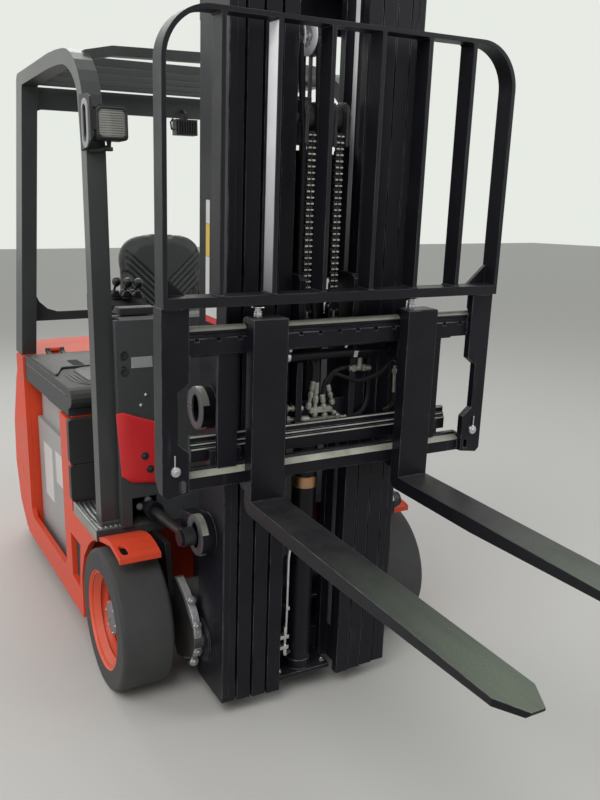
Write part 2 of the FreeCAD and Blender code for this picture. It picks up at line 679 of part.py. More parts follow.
def chassis_frame():
    half = BODY_HALF - PLATE_T - SEAT_GAP
    under = FLOOR_Z - FLOOR_T - SEAT_GAP
    items = [box(-half, half, 790, BAY_REAR + 20, SILL_BOTTOM, SILL_BOTTOM + 20),
             box(-half + 8, half - 8, 790, 806, SILL_BOTTOM, under),
             box(-half, half, POST_FRONT, POST_FRONT + 12, under - 10, POST_TOP),
             box(-half, half, BAY_FRONT - 16, BAY_FRONT, SILL_BOTTOM, POST_TOP),
             box(-half, half, BAY_REAR, BAY_REAR + 20, SILL_BOTTOM, FRAME_TOP - 6),
             box(-half, half, POST_FRONT, BAY_FRONT, POST_TOP - 8, POST_TOP),
             box(-half, half, 790, BAY_FRONT - 8, under - 12, under)]
    for s in (-1, 1):
        x0, x1 = on_side(s, LONGERON_X, LONGERON_X + LONGERON_T)
        side = [(400, 300), (430, under), (800, under), (800, 120), (640, 110), (430, 150)]
        items.append(slab_yz(side, x0, x1))
        x0, x1 = on_side(s, 440, half)
        items.append(box(x0, x1, 896, BAY_FRONT, POST_TOP - 2, HOOD_BOTTOM - SEAT_GAP))
        x0, x1 = on_side(s, HINGE_X - 20, HINGE_X + 20)
        ear = cyl_x(x0, x1, HINGE_Y, HINGE_Z, HINGE_R).fuse(
            box(x0, x1, HINGE_Y, BAY_REAR + 20, FRAME_TOP - 20, HINGE_Z))
        items.append(ear)
    items.append(box(-LONGERON_X - 5, LONGERON_X + 5, 720, 740, 430, under))
    body = fuse(items)
    tools = [cyl_x(-400, 400, AXLE_Y, TYRE_R, STUB_R + SEAT_GAP)]
    for s in (-1, 1):
        x0, x1 = on_side(s, HINGE_X - 21, HINGE_X + 21)
        tools.append(cyl_x(x0, x1, HINGE_Y, HINGE_Z, HINGE_PIN_R + RUN_GAP))
    return cut(body, tools)


def floor_plate():
    z0 = FLOOR_Z - FLOOR_T
    items = [box(-BODY_HALF, BODY_HALF, STEP_FRONT, STEP_REAR, z0, FLOOR_Z)]
    for s in (-1, 1):
        x = s * TILT_X
        for a, b in ((-28, -20), (20, 28)):
            items.append(box(x + a, x + b, TILT_PIN_Y - 22, TILT_PIN_Y + 30, FLOOR_Z - 4, TILT_PIN_Z + 24))
        items.append(cyl_x(x - 27, x + 27, TILT_PIN_Y, TILT_PIN_Z, TILT_PIN_R))
    return fuse(items)


def drive_axle():
    py, pz = lean(PIVOT_Y, PIVOT_Z)
    items = [cyl_x(-BEARING_X1, BEARING_X1, AXLE_Y, TYRE_R, AXLE_TUBE_R),
             box(-150, 150, AXLE_Y - 60, 700, 130, 350)]
    cap = [(400, 362), (362, 345), (318, 318), (276, 276), (246, 250), (238, 214), (242, 176),
           (262, 142), (306, 124), (346, 104), (392, 92), (440, 160), (440, 300)]
    for s in (-1, 1):
        items.append(slab_yz(cap, *on_side(s, BEARING_X0, BEARING_X1)))
        x0, x1 = on_side(s, MAST_HALF - WEB_T + 1, BEARING_X1)
        items.append(cyl_x(x0, x1, py, pz, PIVOT_PIN_R))
        x = s * (BEARING_X0 + BEARING_X1) / 2
        for z in (306, 101):
            items.append(cyl_y(x, 300, 360, z, 11))
        items.append(cyl_x(*on_side(s, LONGERON_X + LONGERON_T + 1, 380), AXLE_Y, TYRE_R, 95))
        items.append(cyl_x(*on_side(s, 300, 500), AXLE_Y, TYRE_R, STUB_R))
    return fuse(items)


def tyre(x0, x1, y, z, r, rim_r, edge):
    ring = ring_x(x0, x1, y, z, r, rim_r + SEAT_GAP)
    return ring.makeFillet(edge, [e for e in ring.Edges if abs(e.BoundBox.ZLength - 2 * r) < 1])


def wheel_front(s):
    face = WHEEL_FACE
    x0, x1 = on_side(s, face - 8, face - TYRE_W + 6)
    items = [ring_x(x0, x1, AXLE_Y, TYRE_R, RIM_R, RIM_R - 11)]
    items.append(cyl_x(*on_side(s, face - 92, face - 78), AXLE_Y, TYRE_R, RIM_R - 8))
    items.append(cyl_x(*on_side(s, face - 120, face - 52), AXLE_Y, TYRE_R, 74))
    items.append(cyl_x(*on_side(s, face - 60, face - 30), AXLE_Y, TYRE_R, HUB_CAP_R))
    lip = Part.makeCone(RIM_R - 8, RIM_R - 26, 26, V(s * (face - 8), AXLE_Y, TYRE_R), V(-s, 0, 0))
    lip = cyl_x(*on_side(s, face - 8, face - 34), AXLE_Y, TYRE_R, RIM_R - 4).cut(lip)
    items.append(lip)
    for k in range(8):
        a = math.radians(k * 45 + 22.5)
        items.append(cyl_x(*on_side(s, face - 80, face - 62), AXLE_Y + 102 * math.cos(a),
                           TYRE_R + 102 * math.sin(a), 11))
    return fuse(items).cut(cyl_x(*on_side(s, 300, 500.5), AXLE_Y, TYRE_R, STUB_R + RUN_GAP))


def steer_bearing():
    ring = cyl_z(0, REAR_Y, BOGIE_TOP + 5.3, 442, 96)
    return ring.cut(cyl_z(0, REAR_Y, 300, 450, SPIGOT_R + RUN_GAP))


def steer_bogie():
    web = [(-BOGIE_R + 10, BOGIE_TOP - 6), (BOGIE_R - 10, BOGIE_TOP - 6), (48, STEER_TYRE_R - 30),
           (20, STEER_TYRE_R - 46), (-20, STEER_TYRE_R - 46), (-48, STEER_TYRE_R - 30)]
    half = STEER_GAP / 2 - 5
    items = [cyl_z(0, REAR_Y, BOGIE_TOP - 15, BOGIE_TOP, BOGIE_R),
             cyl_z(0, REAR_Y, BOGIE_TOP - 2, 438, SPIGOT_R),
             slab_yz([(REAR_Y + y, z) for y, z in web], -half, half)]
    return fuse(items).cut(cyl_x(-20, 20, REAR_Y, STEER_TYRE_R, STEER_SHAFT_R + RUN_GAP))


def wheel_rear():
    inner, outer = STEER_GAP / 2, STEER_GAP / 2 + STEER_TYRE_W
    items = [cyl_x(-outer + 20, outer - 20, REAR_Y, STEER_TYRE_R, STEER_SHAFT_R)]
    for s in (-1, 1):
        x0, x1 = on_side(s, inner + 4, outer - 5)
        items.append(ring_x(x0, x1, REAR_Y, STEER_TYRE_R, STEER_RIM_R, STEER_RIM_R - 10))
        items.append(cyl_x(*on_side(s, inner + 40, inner + 52), REAR_Y, STEER_TYRE_R, STEER_RIM_R - 6))
        items.append(cyl_x(*on_side(s, inner + 1, outer - 22), REAR_Y, STEER_TYRE_R, 42))
    return fuse(items)


CW_TABLE = [
    # height, half width, end of the straight side, rear
    (60.0, BODY_HALF - 22, CW_REAR - 320, CW_REAR - 50),
    (180.0, BODY_HALF - 8, CW_REAR - 280, CW_REAR - 15),
    (366.0, BODY_HALF, CW_REAR - 265, CW_REAR),
    (562.0, BODY_HALF - 3, CW_REAR - 270, CW_REAR - 4),
    (767.0, BODY_HALF - 18, CW_REAR - 300, CW_REAR - 30),
    (CW_TOP, BODY_HALF - 38, CW_REAR - 330, CW_REAR - 65),
]


def cw_section(z, half, side_end, rear):
    rx, ry = 250.0, rear - side_end
    k = math.sqrt(0.5)
    front = CW_FRONT

    def corner(s, a, b):
        mid = V(s * (half - rx + rx * k), side_end + ry * k, z)
        return Part.Arc(a, mid, b).toShape()

    p = [V(-half, front, z), V(half, front, z), V(half, side_end, z), V(half - rx, rear, z),
         V(-half + rx, rear, z), V(-half, side_end, z)]
    return Part.Wire([Part.makeLine(p[0], p[1]), Part.makeLine(p[1], p[2]), corner(1, p[2], p[3]),
                      Part.makeLine(p[3], p[4]), corner(-1, p[4], p[5]), Part.makeLine(p[5], p[0])])


def counterweight():
    body = Part.makeLoft([cw_section(*row) for row in CW_TABLE], True, True)
    half = BODY_HALF - PLATE_T - 2
    body = body.fuse(box(-half, half, BAY_REAR + 20 + SEAT_GAP, CW_FRONT + 5, BOGIE_TOP + 5.3, FRAME_TOP))
    tools = [cyl_z(0, REAR_Y, 0, BOGIE_TOP + 5, WHEEL_WELL_R),
             cyl_z(0, REAR_Y, 0, 442.3, 96.3),
             box(-WHEEL_WELL_R, WHEEL_WELL_R, REAR_Y, CW_REAR + 10, 0, 330)]
    return cut(body, tools).removeSplitter()


def battery():
    low = box(-BATTERY_HALF, BATTERY_HALF, BAY_FRONT + 14, BAY_REAR - 14, SILL_BOTTOM + 20 + SEAT_GAP,
              BATTERY_TOP - 118)
    high = box(-BATTERY_HALF + 20, BATTERY_HALF - 20, BAY_FRONT + 24, BAY_REAR - 24,
               BATTERY_TOP - 126, BATTERY_TOP)
    return fuse([low, high])


def mudguard():
    outer = [(324, 486), (346, 495), (380, 503), (422, 509), (460, 506), (502, 496), (548.7, 480)]
    profile = outer + [(y, z - 9) for y, z in reversed(outer)]
    plate = slab_yz(profile, 400, 532)
    skirt = [(324, 488)] + outer[1:] + [(548.7, 466), (500, 478), (422, 494), (346, 480), (324, 472)]
    plate = fuse([plate, slab_yz(skirt, 526, 532), box(400, 532, 324, 331, 470, 488)])
    slot = [cyl_z(507, y, 400, 600, 12) for y in (352, 378)] + [box(495, 519, 352, 378, 400, 600)]
    return cut(plate, slot)


def counter_pair(shape):
    return Part.makeCompound(both(shape))


def cowl():
    y0, z0 = COWL_Y, FLOOR_Z + SEAT_GAP
    w = COWL_WALL
    items = [box(-COWL_HALF, COWL_HALF, y0, y0 + w, z0, COWL_TOP)]
    z = COWL_TOP
    dash = [(y0, z - 30), (y0, z), (y0 + 30, z + 7), (790, z - 12), (800, z - 40), (790, z - 92),
            (770, z - 92), (770, z - 34), (y0 + 20, z - 20)]
    items.append(slab_yz(dash, -COWL_HALF + 17, COWL_HALF - 17))
    for s in (-1, 1):
        x0, x1 = on_side(s, COWL_HALF - w, COWL_HALF)
        items.append(box(x0, x1, y0, y0 + 30, z0, COWL_TOP))
    body = fuse(items)
    tools = []
    for s in (-1, 1):
        x0, x1 = on_side(s, COWL_HOLE_X0, COWL_HOLE_X1)
        tools.append(box(x0, x1, y0 - 1, y0 + w + 1, z0 - 1, COWL_HOLE_TOP - 12))
        tools.append(cyl_y(s * 432, y0 - 1, y0 + 4, 1028, 8))
        tools.append(cyl_y(s * 432, y0 - 1, y0 + 4, 1058, 8))
    return cut(body, tools)


def cowl_tunnel():
    """The folded cover over one tilt cylinder on the driver's floor, at +X."""
    y0, y1 = COWL_Y + COWL_WALL + SEAT_GAP, 850
    z0 = FLOOR_Z + SEAT_GAP
    return fuse([box(TILT_X - 40, TILT_X - 34, y0, y1, z0, 606), box(TILT_X + 66, TILT_X + 72, y0, y1, z0, 606),
                 box(TILT_X - 40, TILT_X + 72, y0, y1, 600, 606)])


def cowl_panel():
    panel = box(338, 463, COWL_Y - SEAT_GAP - 14, COWL_Y - SEAT_GAP, 640, 886)
    return fillet_edges(panel, 6, lambda b: b.YMax < COWL_Y - 14 + 0.01 and b.YLength < 0.01)


# overhead guard

def guard_side():
    z0 = FLOOR_Z + SEAT_GAP
    outer = [(585, z0 + 4), (610, 1690), (640, 1855), (657, 1895), (682, 1930), (720, 1965), (764, 1991),
             (808, 2007), (858, 2016), (950, 2024), (1057, GUARD_TOP), (1590, GUARD_TOP),
             (1612, GUARD_TOP - 18), (1620, GUARD_RAIL_Z - 5)]
    inner = [(1515, GUARD_RAIL_Z - 5), (1500, GUARD_RAIL_Z), (1069, GUARD_RAIL_Z), (940, 1975),
             (855, 1967), (800, 1950), (753, 1926), (718, 1898), (694, 1864), (669, 1694), (645, z0 + 4)]
    side = slab_yz(outer + inner, GUARD_HALF - GUARD_LEG, GUARD_HALF)
    angle = math.degrees(math.atan2(GUARD_FOOT - GUARD_HALF, GUARD_TOP - FLOOR_Z))
    side.rotate(V(GUARD_HALF, 0, GUARD_TOP), V(0, 1, 0), -angle)
    foot = box(GUARD_FOOT - GUARD_LEG - 8, GUARD_FOOT, 575, 655, z0, z0 + 14)
    return side.fuse(foot)


def pillar_section(z, x_out, y0, y1):
    x_in = x_out - GUARD_LEG
    return Part.makePolygon([V(x_in, y0, z), V(x_out, y0, z), V(x_out, y1, z), V(x_in, y1, z),
                             V(x_in, y0, z)])


def rear_pillar():
    foot = FRAME_TOP + SEAT_GAP
    return Part.makeLoft([pillar_section(foot, PILLAR_FOOT_X, 1680, 1808),
                          pillar_section(GUARD_TOP - 40, GUARD_HALF, 1513, 1618)], True, True)


def crowned_beam(y0, y1, thick, z_side, z_mid, half):
    top = [(-half, z_side), (-half * 0.8, z_side + (z_mid - z_side) * 0.7), (0, z_mid),
           (half * 0.8, z_side + (z_mid - z_side) * 0.7), (half, z_side)]
    return slab_xz(top + [(x, z - thick) for x, z in reversed(top)], y0, y1)


def overhead_guard():
    items = both(guard_side()) + both(rear_pillar())
    inner = GUARD_HALF - GUARD_LEG + 10
    items.append(crowned_beam(762, 800, 30, GUARD_TOP - 28, GUARD_TOP + 1, inner + 6))
    z = GUARD_RAIL_Z
    rear = [(-inner, z + 5), (inner, z + 5), (inner, z - 100), (inner - 14, z - 87), (inner - 36, z - 79),
            (-inner + 36, z - 79), (-inner + 14, z - 87), (-inner, z - 100)]
    items.append(slab_xz(rear, 1584, 1598))
    w = PILLAR_FOOT_X - 56
    z = FRAME_TOP
    right = [(w - 118, z + 171), (w - 76, z + 185), (w - 42, z + 217), (w - 22, z + 265), (w - 12, z + 335),
             (w, z + 335), (w, z + 133)]
    low = right + [(-x, h) for x, h in reversed(right)]
    items.append(slab_xz(low, 1746, 1760))
    return fuse(items)


def guard_roof_bars():
    half = GUARD_HALF - GUARD_LEG - SEAT_GAP
    bars = []
    for y in ROOF_BAR_Y:
        z = GUARD_TOP
        top = [(-half, z - 33), (-half + 60, z - 17), (half - 60, z - 17), (half, z - 33)]
        bars.append(slab_xz(top + [(half, z - 45), (-half, z - 45)], y - 6, y + 6))
    return Part.makeCompound(bars)


def work_lamp():
    """One front lamp on its slotted bracket plate, at +X."""
    leg = GUARD_HALF + 3.2
    plate = [(531, 1836), (560, 1848), (646, 1853), (646, 1690), (560, 1700), (531, 1716)]
    bracket = slab_yz(plate, leg + SEAT_GAP, leg + 6)
    slot = [cyl_x(leg - 1, leg + 8, 588, z, 13) for z in (1740, 1804)]
    bracket = cut(bracket, slot + [box(leg - 1, leg + 8, 575, 601, 1740, 1804)])
    lamp = box(393, 491, 540, 598, 1717, 1817)
    lamp = fillet_edges(lamp, 12, lambda b: b.YLength > 50 and b.XLength < 0.01)
    arm = box(488, leg + 5, 535, 552, 1745, 1800)
    return fuse([bracket, lamp, arm])


def work_lamp_rear():
    z = GUARD_RAIL_Z - 79
    lamp = box(132, 228, 1590 - 62, 1590 - 12, z - 73, z - 9)
    return fuse([lamp, box(172, 188, 1590 - 40, 1598, z - 23, z - SEAT_GAP)])


# hood and seat

def hood():
    outer = [(893, HOOD_BOTTOM), (893, 832), (856, 848), (843, 862), (841, 878), (848, 894), (862, 905),
             (882, HOOD_TOP), (HOOD_REAR, HOOD_TOP), (HOOD_REAR, HOOD_BOTTOM)]
    w = HOOD_WALL
    inner = [(893 + w, HOOD_BOTTOM - 5), (893 + w, 840), (866, 856), (852, 868), (852, 878),
             (858, 890), (884, HOOD_TOP - w), (HOOD_REAR - w, HOOD_TOP - w),
             (HOOD_REAR - w, HOOD_BOTTOM - 5)]
    body = slab_yz(outer, -HOOD_HALF, HOOD_HALF)
    body = body.cut(slab_yz(inner, -HOOD_HALF + w, HOOD_HALF - w))
    items = [body]
    for s in (-1, 1):
        for k in (-1, 1):
            x = s * HINGE_X + k * 30
            items.append(cyl_x(x - 9, x + 9, HINGE_Y, HINGE_Z, HINGE_R))
            leaf = [(HOOD_REAR - 40, HOOD_TOP - 3), (HOOD_REAR - 40, HOOD_TOP + 3),
                    (HINGE_Y, HINGE_Z), (HINGE_Y, HINGE_Z - 6), (HOOD_REAR, HOOD_TOP - 3)]
            items.append(slab_yz(leaf, x - 9, x + 9))
        x0, x1 = on_side(s, HINGE_X - 38, HINGE_X + 38)
        items.append(cyl_x(x0, x1, HINGE_Y, HINGE_Z, HINGE_PIN_R))
    return fuse(items)


def seat_base():
    base = slab_xz([(SEAT_X - 180, HOOD_TOP + SEAT_GAP), (SEAT_X - 205, HOOD_TOP + 49), (SEAT_X - 215, SEAT_BASE_TOP),
                    (SEAT_X + 215, SEAT_BASE_TOP), (SEAT_X + 205, HOOD_TOP + 49), (SEAT_X + 180, HOOD_TOP + SEAT_GAP)],
                   1030, 1480)
    return base


def seat_cushion():
    pad = box(SEAT_X - 235, SEAT_X + 235, 1000, 1428, SEAT_BASE_TOP + SEAT_GAP, CUSHION_TOP)
    return fillet_edges(pad, 30, lambda b: is_upright(b) or (b.ZMin > CUSHION_TOP - 1))


def seat_back():
    top = SEAT_BACK_TOP
    profile = [(1432, CUSHION_TOP - 10), (1414, top - 39), (1424, top - 8), (1448, top),
               (1476, top - 8), (1492, top - 54), (1500, CUSHION_TOP - 20), (1476, SEAT_BASE_TOP + SEAT_GAP),
               (1436, SEAT_BASE_TOP + SEAT_GAP)]
    wide = slab_yz(profile, SEAT_X - SEAT_HALF, SEAT_X + SEAT_HALF)
    top = hoop(SEAT_HALF, SEAT_BACK_TOP, 60, SEAT_BASE_TOP - 10, 1380, 1520)
    top.translate(V(SEAT_X, 0, 0))
    return wide.common(top)


def armrest_console():
    z = POD_TOP
    pod = slab_yz([(880, z - 66), (880, z - 26), (905, z - 4), (1000, z), (1180, z - 10), (1180, z - 66),
                   (1150, z - 84), (920, z - 84)], -372, -250)
    stem = slab_yz([(1090, HOOD_TOP + SEAT_GAP), (1060, z - 76), (1160, z - 76), (1190, HOOD_TOP + SEAT_GAP)],
                   -350, -272)
    return fuse([pod, stem])


LEVERS = [
    # base x, base y, knob x, knob y, knob z
    (-345.0, 930.0, -338.0, 902.0, POD_TOP + 54),
    (-308.0, 930.0, -304.0, 880.0, POD_TOP + 52),
    (-271.0, 930.0, -272.0, 862.0, POD_TOP + 50),
]


def levers():
    out = []
    for bx, by, kx, ky, kz in LEVERS:
        foot = POD_TOP - 2 + SEAT_GAP
        gaiter = Part.makeCone(17, 8, 24, V(bx, by, foot), V(0, 0, 1))
        stem = rod((bx, by, foot + 8), (kx, ky, kz), 4.5)
        knob = Part.makeSphere(14, V(kx, ky, kz))
        out.append(fuse([gaiter, stem, knob]))
    return Part.makeCompound(out)


# steering

def column_axis():
    a = math.radians(COLUMN_LEAN)
    return V(COLUMN_X, COLUMN_Y, COLUMN_Z), V(0, math.sin(a), math.cos(a))


def steering_wheel():
    centre, n = column_axis()
    side = V(1, 0, 0)
    items = [Part.makeTorus(STEERING_R, STEERING_RIM, centre, n),
             Part.makeCylinder(32, 40, centre - n * 34, n)]
    for k in range(3):
        a = math.radians(90 + 120 * k)
        d = side * math.cos(a) + n.cross(side) * math.sin(a)
        items.append(Part.makeCylinder(8, STEERING_R - 2, centre - n * 14, d * (STEERING_R - 2) + n * 14))
    knob = centre + V(STEERING_R, 0, 0)
    items.append(Part.makeCylinder(10, 44, knob, n))
    items.append(Part.makeSphere(18, knob + n * 44))
    body = fuse(items)
    return body.cut(Part.makeCylinder(14 + RUN_GAP, 30, centre - n * 35, n))


def steering_column():
    centre, n = column_axis()
    tube = Part.makeCylinder(34, 110, centre - n * 150, n)
    shaft = Part.makeCylinder(14, 70, centre - n * 76, n)
    boot = Part.makeCone(66, 36, 66, centre - n * 156, n)
    body = fuse([tube, shaft, boot])
    keep = slab_yz([(600, COWL_TOP + 7.5), (COWL_Y + 30, COWL_TOP + 7 + SEAT_GAP),
                    (790, COWL_TOP - 12 + SEAT_GAP), (1000, COWL_TOP - 12 + SEAT_GAP), (1000, 1500), (600, 1500)], -200, 200)
    return body.common(keep)


def leaned(shape):
    shape.rotate(V(0, AXLE_Y, TYRE_R), V(1, 0, 0), MAST_TILT)
    return shape


def mast_group():
    group = {
        "fork_right": fork(FORK_RIGHT_X),
        "fork_left": fork(FORK_LEFT_X),
        "sideshift_frame": sideshift_frame(),
        "load_backrest": load_backrest(),
        "carriage": carriage(),
        "sideshift_barrel": sideshift_barrel(),
        "crosshead": crosshead(),
        "lift_chains": lift_chains(),
        "free_lift_barrel": free_lift_barrel(),
        "lift_barrels": lift_barrels(),
        "lift_rods": lift_rods(),
        "mast_stage_1": mast_stage_outer(),
        "mast_stage_2": mast_stage_inner(1),
        "mast_stage_3": mast_stage_inner(2),
        "mast_stage_4": mast_stage_inner(3),
    }
    return {name: leaned(shape) for name, shape in group.items()}


def truck_group():
    half = STEER_GAP / 2
    group = {
        "frame_sides": counter_pair(frame_side()),
        "side_grilles": counter_pair(side_grille()),
        "chassis_frame": chassis_frame(),
        "floor_plate": floor_plate(),
        "drive_axle": drive_axle(),
        "counterweight": counterweight(),
        "battery": battery(),
        "mudguards": counter_pair(mudguard()),
        "cowl": cowl(),
        "cowl_tunnels": counter_pair(cowl_tunnel()),
        "cowl_panels": counter_pair(cowl_panel()),
        "overhead_guard": overhead_guard(),
        "guard_roof_bars": guard_roof_bars(),
        "work_lamps": counter_pair(work_lamp()),
        "work_lamp_rear": work_lamp_rear(),
        "hood": hood(),
        "seat_base": seat_base(),
        "seat_cushion": seat_cushion(),
        "seat_back": seat_back(),
        "armrest_console": armrest_console(),
        "levers": levers(),
        "steering_wheel": steering_wheel(),
        "steering_column": steering_column(),
        "steer_bearing": steer_bearing(),
        "steer_bogie": steer_bogie(),
        "wheel_rear": wheel_rear(),
    }
    for s, side in ((-1, "right"), (1, "left")):
        group["wheel_front_" + side] = wheel_front(s)
        x0, x1 = on_side(s, WHEEL_FACE - TYRE_W, WHEEL_FACE)
        group["tyre_front_" + side] = tyre(x0, x1, AXLE_Y, TYRE_R, TYRE_R, RIM_R, 14)
        x0, x1 = on_side(s, half, half + STEER_TYRE_W)
        group["tyre_rear_" + side] = tyre(x0, x1, REAR_Y, STEER_TYRE_R, STEER_TYRE_R, STEER_RIM_R, 12)
        group["tilt_barrel_" + side] = tilt_barrel(s)
        group["tilt_rod_" + side] = tilt_rod(s)
    return group


def write(parts):
    os.makedirs("parts", exist_ok=True)
    for name in sorted(parts):
        shape = parts[name]
        if shape.ShapeType == "Compound" and len(shape.Solids) == 1:
            shape = shape.Solids[0]
        shape.translate(V(0, SHIFT_Y, 0))
        shape.exportStep("parts/%s.step" % name)
        print(name, len(shape.Solids), shape.isValid(), round(shape.Volume / 1e6, 2))


ALL_PARTS = mast_group()
ALL_PARTS.update(truck_group())
write(ALL_PARTS)
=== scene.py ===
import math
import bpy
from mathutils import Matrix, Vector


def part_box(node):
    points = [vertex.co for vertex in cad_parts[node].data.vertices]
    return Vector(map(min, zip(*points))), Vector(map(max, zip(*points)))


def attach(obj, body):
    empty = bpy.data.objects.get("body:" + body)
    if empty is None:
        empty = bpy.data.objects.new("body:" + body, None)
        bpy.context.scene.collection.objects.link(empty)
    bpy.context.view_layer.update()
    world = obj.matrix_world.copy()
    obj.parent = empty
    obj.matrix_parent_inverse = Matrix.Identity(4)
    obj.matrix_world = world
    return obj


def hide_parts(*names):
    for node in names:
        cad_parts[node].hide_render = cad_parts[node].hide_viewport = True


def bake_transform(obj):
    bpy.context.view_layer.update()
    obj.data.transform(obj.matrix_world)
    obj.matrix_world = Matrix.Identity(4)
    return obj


bl_info = {
    "name": "Counterbalance truck",
    "version": (1, 0, 0),
    "blender": (4, 5, 0),
    "location": "View3D > Sidebar > Truck",
    "description": "Finishes and fittings of an electric three-wheel counterbalance truck",
    "category": "Object",
}

import bmesh
import bpy
from mathutils import Matrix, Vector, noise

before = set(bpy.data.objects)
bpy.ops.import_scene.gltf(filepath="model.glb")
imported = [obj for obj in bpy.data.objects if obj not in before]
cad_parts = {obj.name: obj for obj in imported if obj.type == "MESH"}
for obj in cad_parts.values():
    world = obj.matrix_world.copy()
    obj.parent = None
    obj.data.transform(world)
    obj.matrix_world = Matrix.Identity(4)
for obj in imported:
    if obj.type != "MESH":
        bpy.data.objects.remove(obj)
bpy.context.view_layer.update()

# Points are given in millimetres in the truck's drawing frame: X across, +X the truck's own
# left, Y from the fork shanks back, Z up from the floor. Mast points are given upright.
SHIFT_Y = -536.5503
AXLE = (473.0, 229.0)
MAST_LEAN = math.radians(2.9)


def at(p, leaned=False):
    """A drawing point as metres in the truck's frame, leaned with the mast if it belongs to it."""
    x, y, z = p
    if leaned:
        dy, dz = y - AXLE[0], z - AXLE[1]
        y = AXLE[0] + dy * math.cos(MAST_LEAN) - dz * math.sin(MAST_LEAN)
        z = AXLE[1] + dy * math.sin(MAST_LEAN) + dz * math.cos(MAST_LEAN)
    return Vector((x, y + SHIFT_Y, z)) / 1000.0


# ---- sizes and colours -------------------------------------------------------------------


def colour_prop(label, text, value):
    """A colour that a user may change."""
    return bpy.props.FloatVectorProperty(
        name=label, description=text, default=value, size=3, min=0.0, max=1.0, subtype="COLOR"
    )


def length_prop(label, text, value, low=0.0, high=1.0):
    """A length in metres that a user may change."""
    return bpy.props.FloatProperty(
        name=label, description=text, default=value, min=low, max=high, subtype="DISTANCE", unit="LENGTH"
    )


class TruckColours(bpy.types.PropertyGroup):
    """Colours of the truck's finishes."""

    body_paint: colour_prop("Body paint", "Red-orange paint of chassis and counterweight", (0.68, 0.062, 0.022))
    rim_paint: colour_prop("Rim paint", "Paint of the wheel rims", (0.70, 0.085, 0.030))
    panel_red: colour_prop("Panel red", "Moulded red panels beside the mast", (0.60, 0.018, 0.022))
    guard_paint: colour_prop("Guard paint", "Anthracite paint of guard and hood", (0.030, 0.033, 0.034))
    mast_paint: colour_prop("Mast paint", "Black paint of mast and carriage", (0.0065, 0.006, 0.0100))
    fork_paint: colour_prop("Fork paint", "Black paint of the forks and load backrest", (0.0080, 0.0080, 0.0115))
    moulding: colour_prop("Moulding", "Grained grey-black covers of the cowl", (0.036, 0.040, 0.043))
    battery_case: colour_prop("Battery case", "Grey coated steel of the battery", (0.33, 0.34, 0.335))
    seat_cover: colour_prop("Seat cover", "Vinyl of seat and back", (0.020, 0.023, 0.022))


class TruckSizes(bpy.types.PropertyGroup):
    """Sizes of the truck's small fittings."""

    link_pitch: length_prop("Chain pitch", "Distance between two pins of the lift chains", 0.0159, 0.01, 0.06)
    tread_depth: length_prop("Tread depth", "Depth of the drive tyres' grooves", 0.006, 0.0, 0.02)
    nut_radius: length_prop("Wheel nut", "Radius of a wheel nut over its corners", 0.0165, 0.005, 0.03)
    weld_radius: length_prop("Weld bead", "Half the width of a weld bead", 0.0045, 0.001, 0.01)
    seat_cap: length_prop("Cushion swell", "How far a point of a cushion may swell", 0.022, 0.0, 0.04)


# ---- shaders -----------------------------------------------------------------------------

FINISHES = {}


class Wires:
    """Places and joins the nodes of one tree."""

    def __init__(self, tree):
        self.tree = tree

    def node(self, kind, **settings):
        made = self.tree.nodes.new(kind)
        for key, value in settings.items():
            setattr(made, key, value)
        return made

    def join(self, out, into):
        self.tree.links.new(out, into)

    def feed(self, value, into):
        """Joins a socket, or sets a plain value."""
        if isinstance(value, bpy.types.NodeSocket):
            self.join(value, into)
        else:
            into.default_value = value

    def maths(self, how, a, b=0.0, clamp=False):
        made = self.node("ShaderNodeMath", operation=how, use_clamp=clamp)
        self.feed(a, made.inputs[0])
        self.feed(b, made.inputs[1])
        return made.outputs[0]

    def ranged(self, value, a, b, c, d, smooth=False):
        made = self.node("ShaderNodeMapRange", clamp=True)
        if smooth:
            made.interpolation_type = "SMOOTHSTEP"
        self.feed(value, made.inputs["Value"])
        for socket, number in zip(("From Min", "From Max", "To Min", "To Max"), (a, b, c, d)):
            self.feed(number, made.inputs[socket])
        return made.outputs["Result"]

    def mixed(self, factor, a, b):
        made = self.node("ShaderNodeMix", data_type="RGBA", blend_type="MIX")
        self.feed(factor, made.inputs[0])
        self.feed(a, made.inputs[6])
        self.feed(b, made.inputs[7])
        return made.outputs[2]

    def cloud(self, where, scale, detail=4.0, rough=0.55, warp=0.0):
        made = self.node("ShaderNodeTexNoise")
        self.feed(where, made.inputs["Vector"])
        self.feed(scale, made.inputs["Scale"])
        made.inputs["Detail"].default_value = detail
        made.inputs["Roughness"].default_value = rough
        made.inputs["Distortion"].default_value = warp
        return made.outputs["Fac"]


def new_group(name, inputs, outputs):
    """An empty shader group with its sockets: name, kind, default."""
    tree = bpy.data.node_groups.new(name, "ShaderNodeTree")
    for label, kind, default in inputs:
        socket = tree.interface.new_socket(label, in_out="INPUT", socket_type=kind)
        if default is not None:
            socket.default_value = default
    for label, kind in outputs:
        tree.interface.new_socket(label, in_out="OUTPUT", socket_type=kind)
    wires = Wires(tree)
    return wires, wires.node("NodeGroupInput"), wires.node("NodeGroupOutput")


FLOAT, COLOUR, VECTOR = "NodeSocketFloat", "NodeSocketColor", "NodeSocketVector"


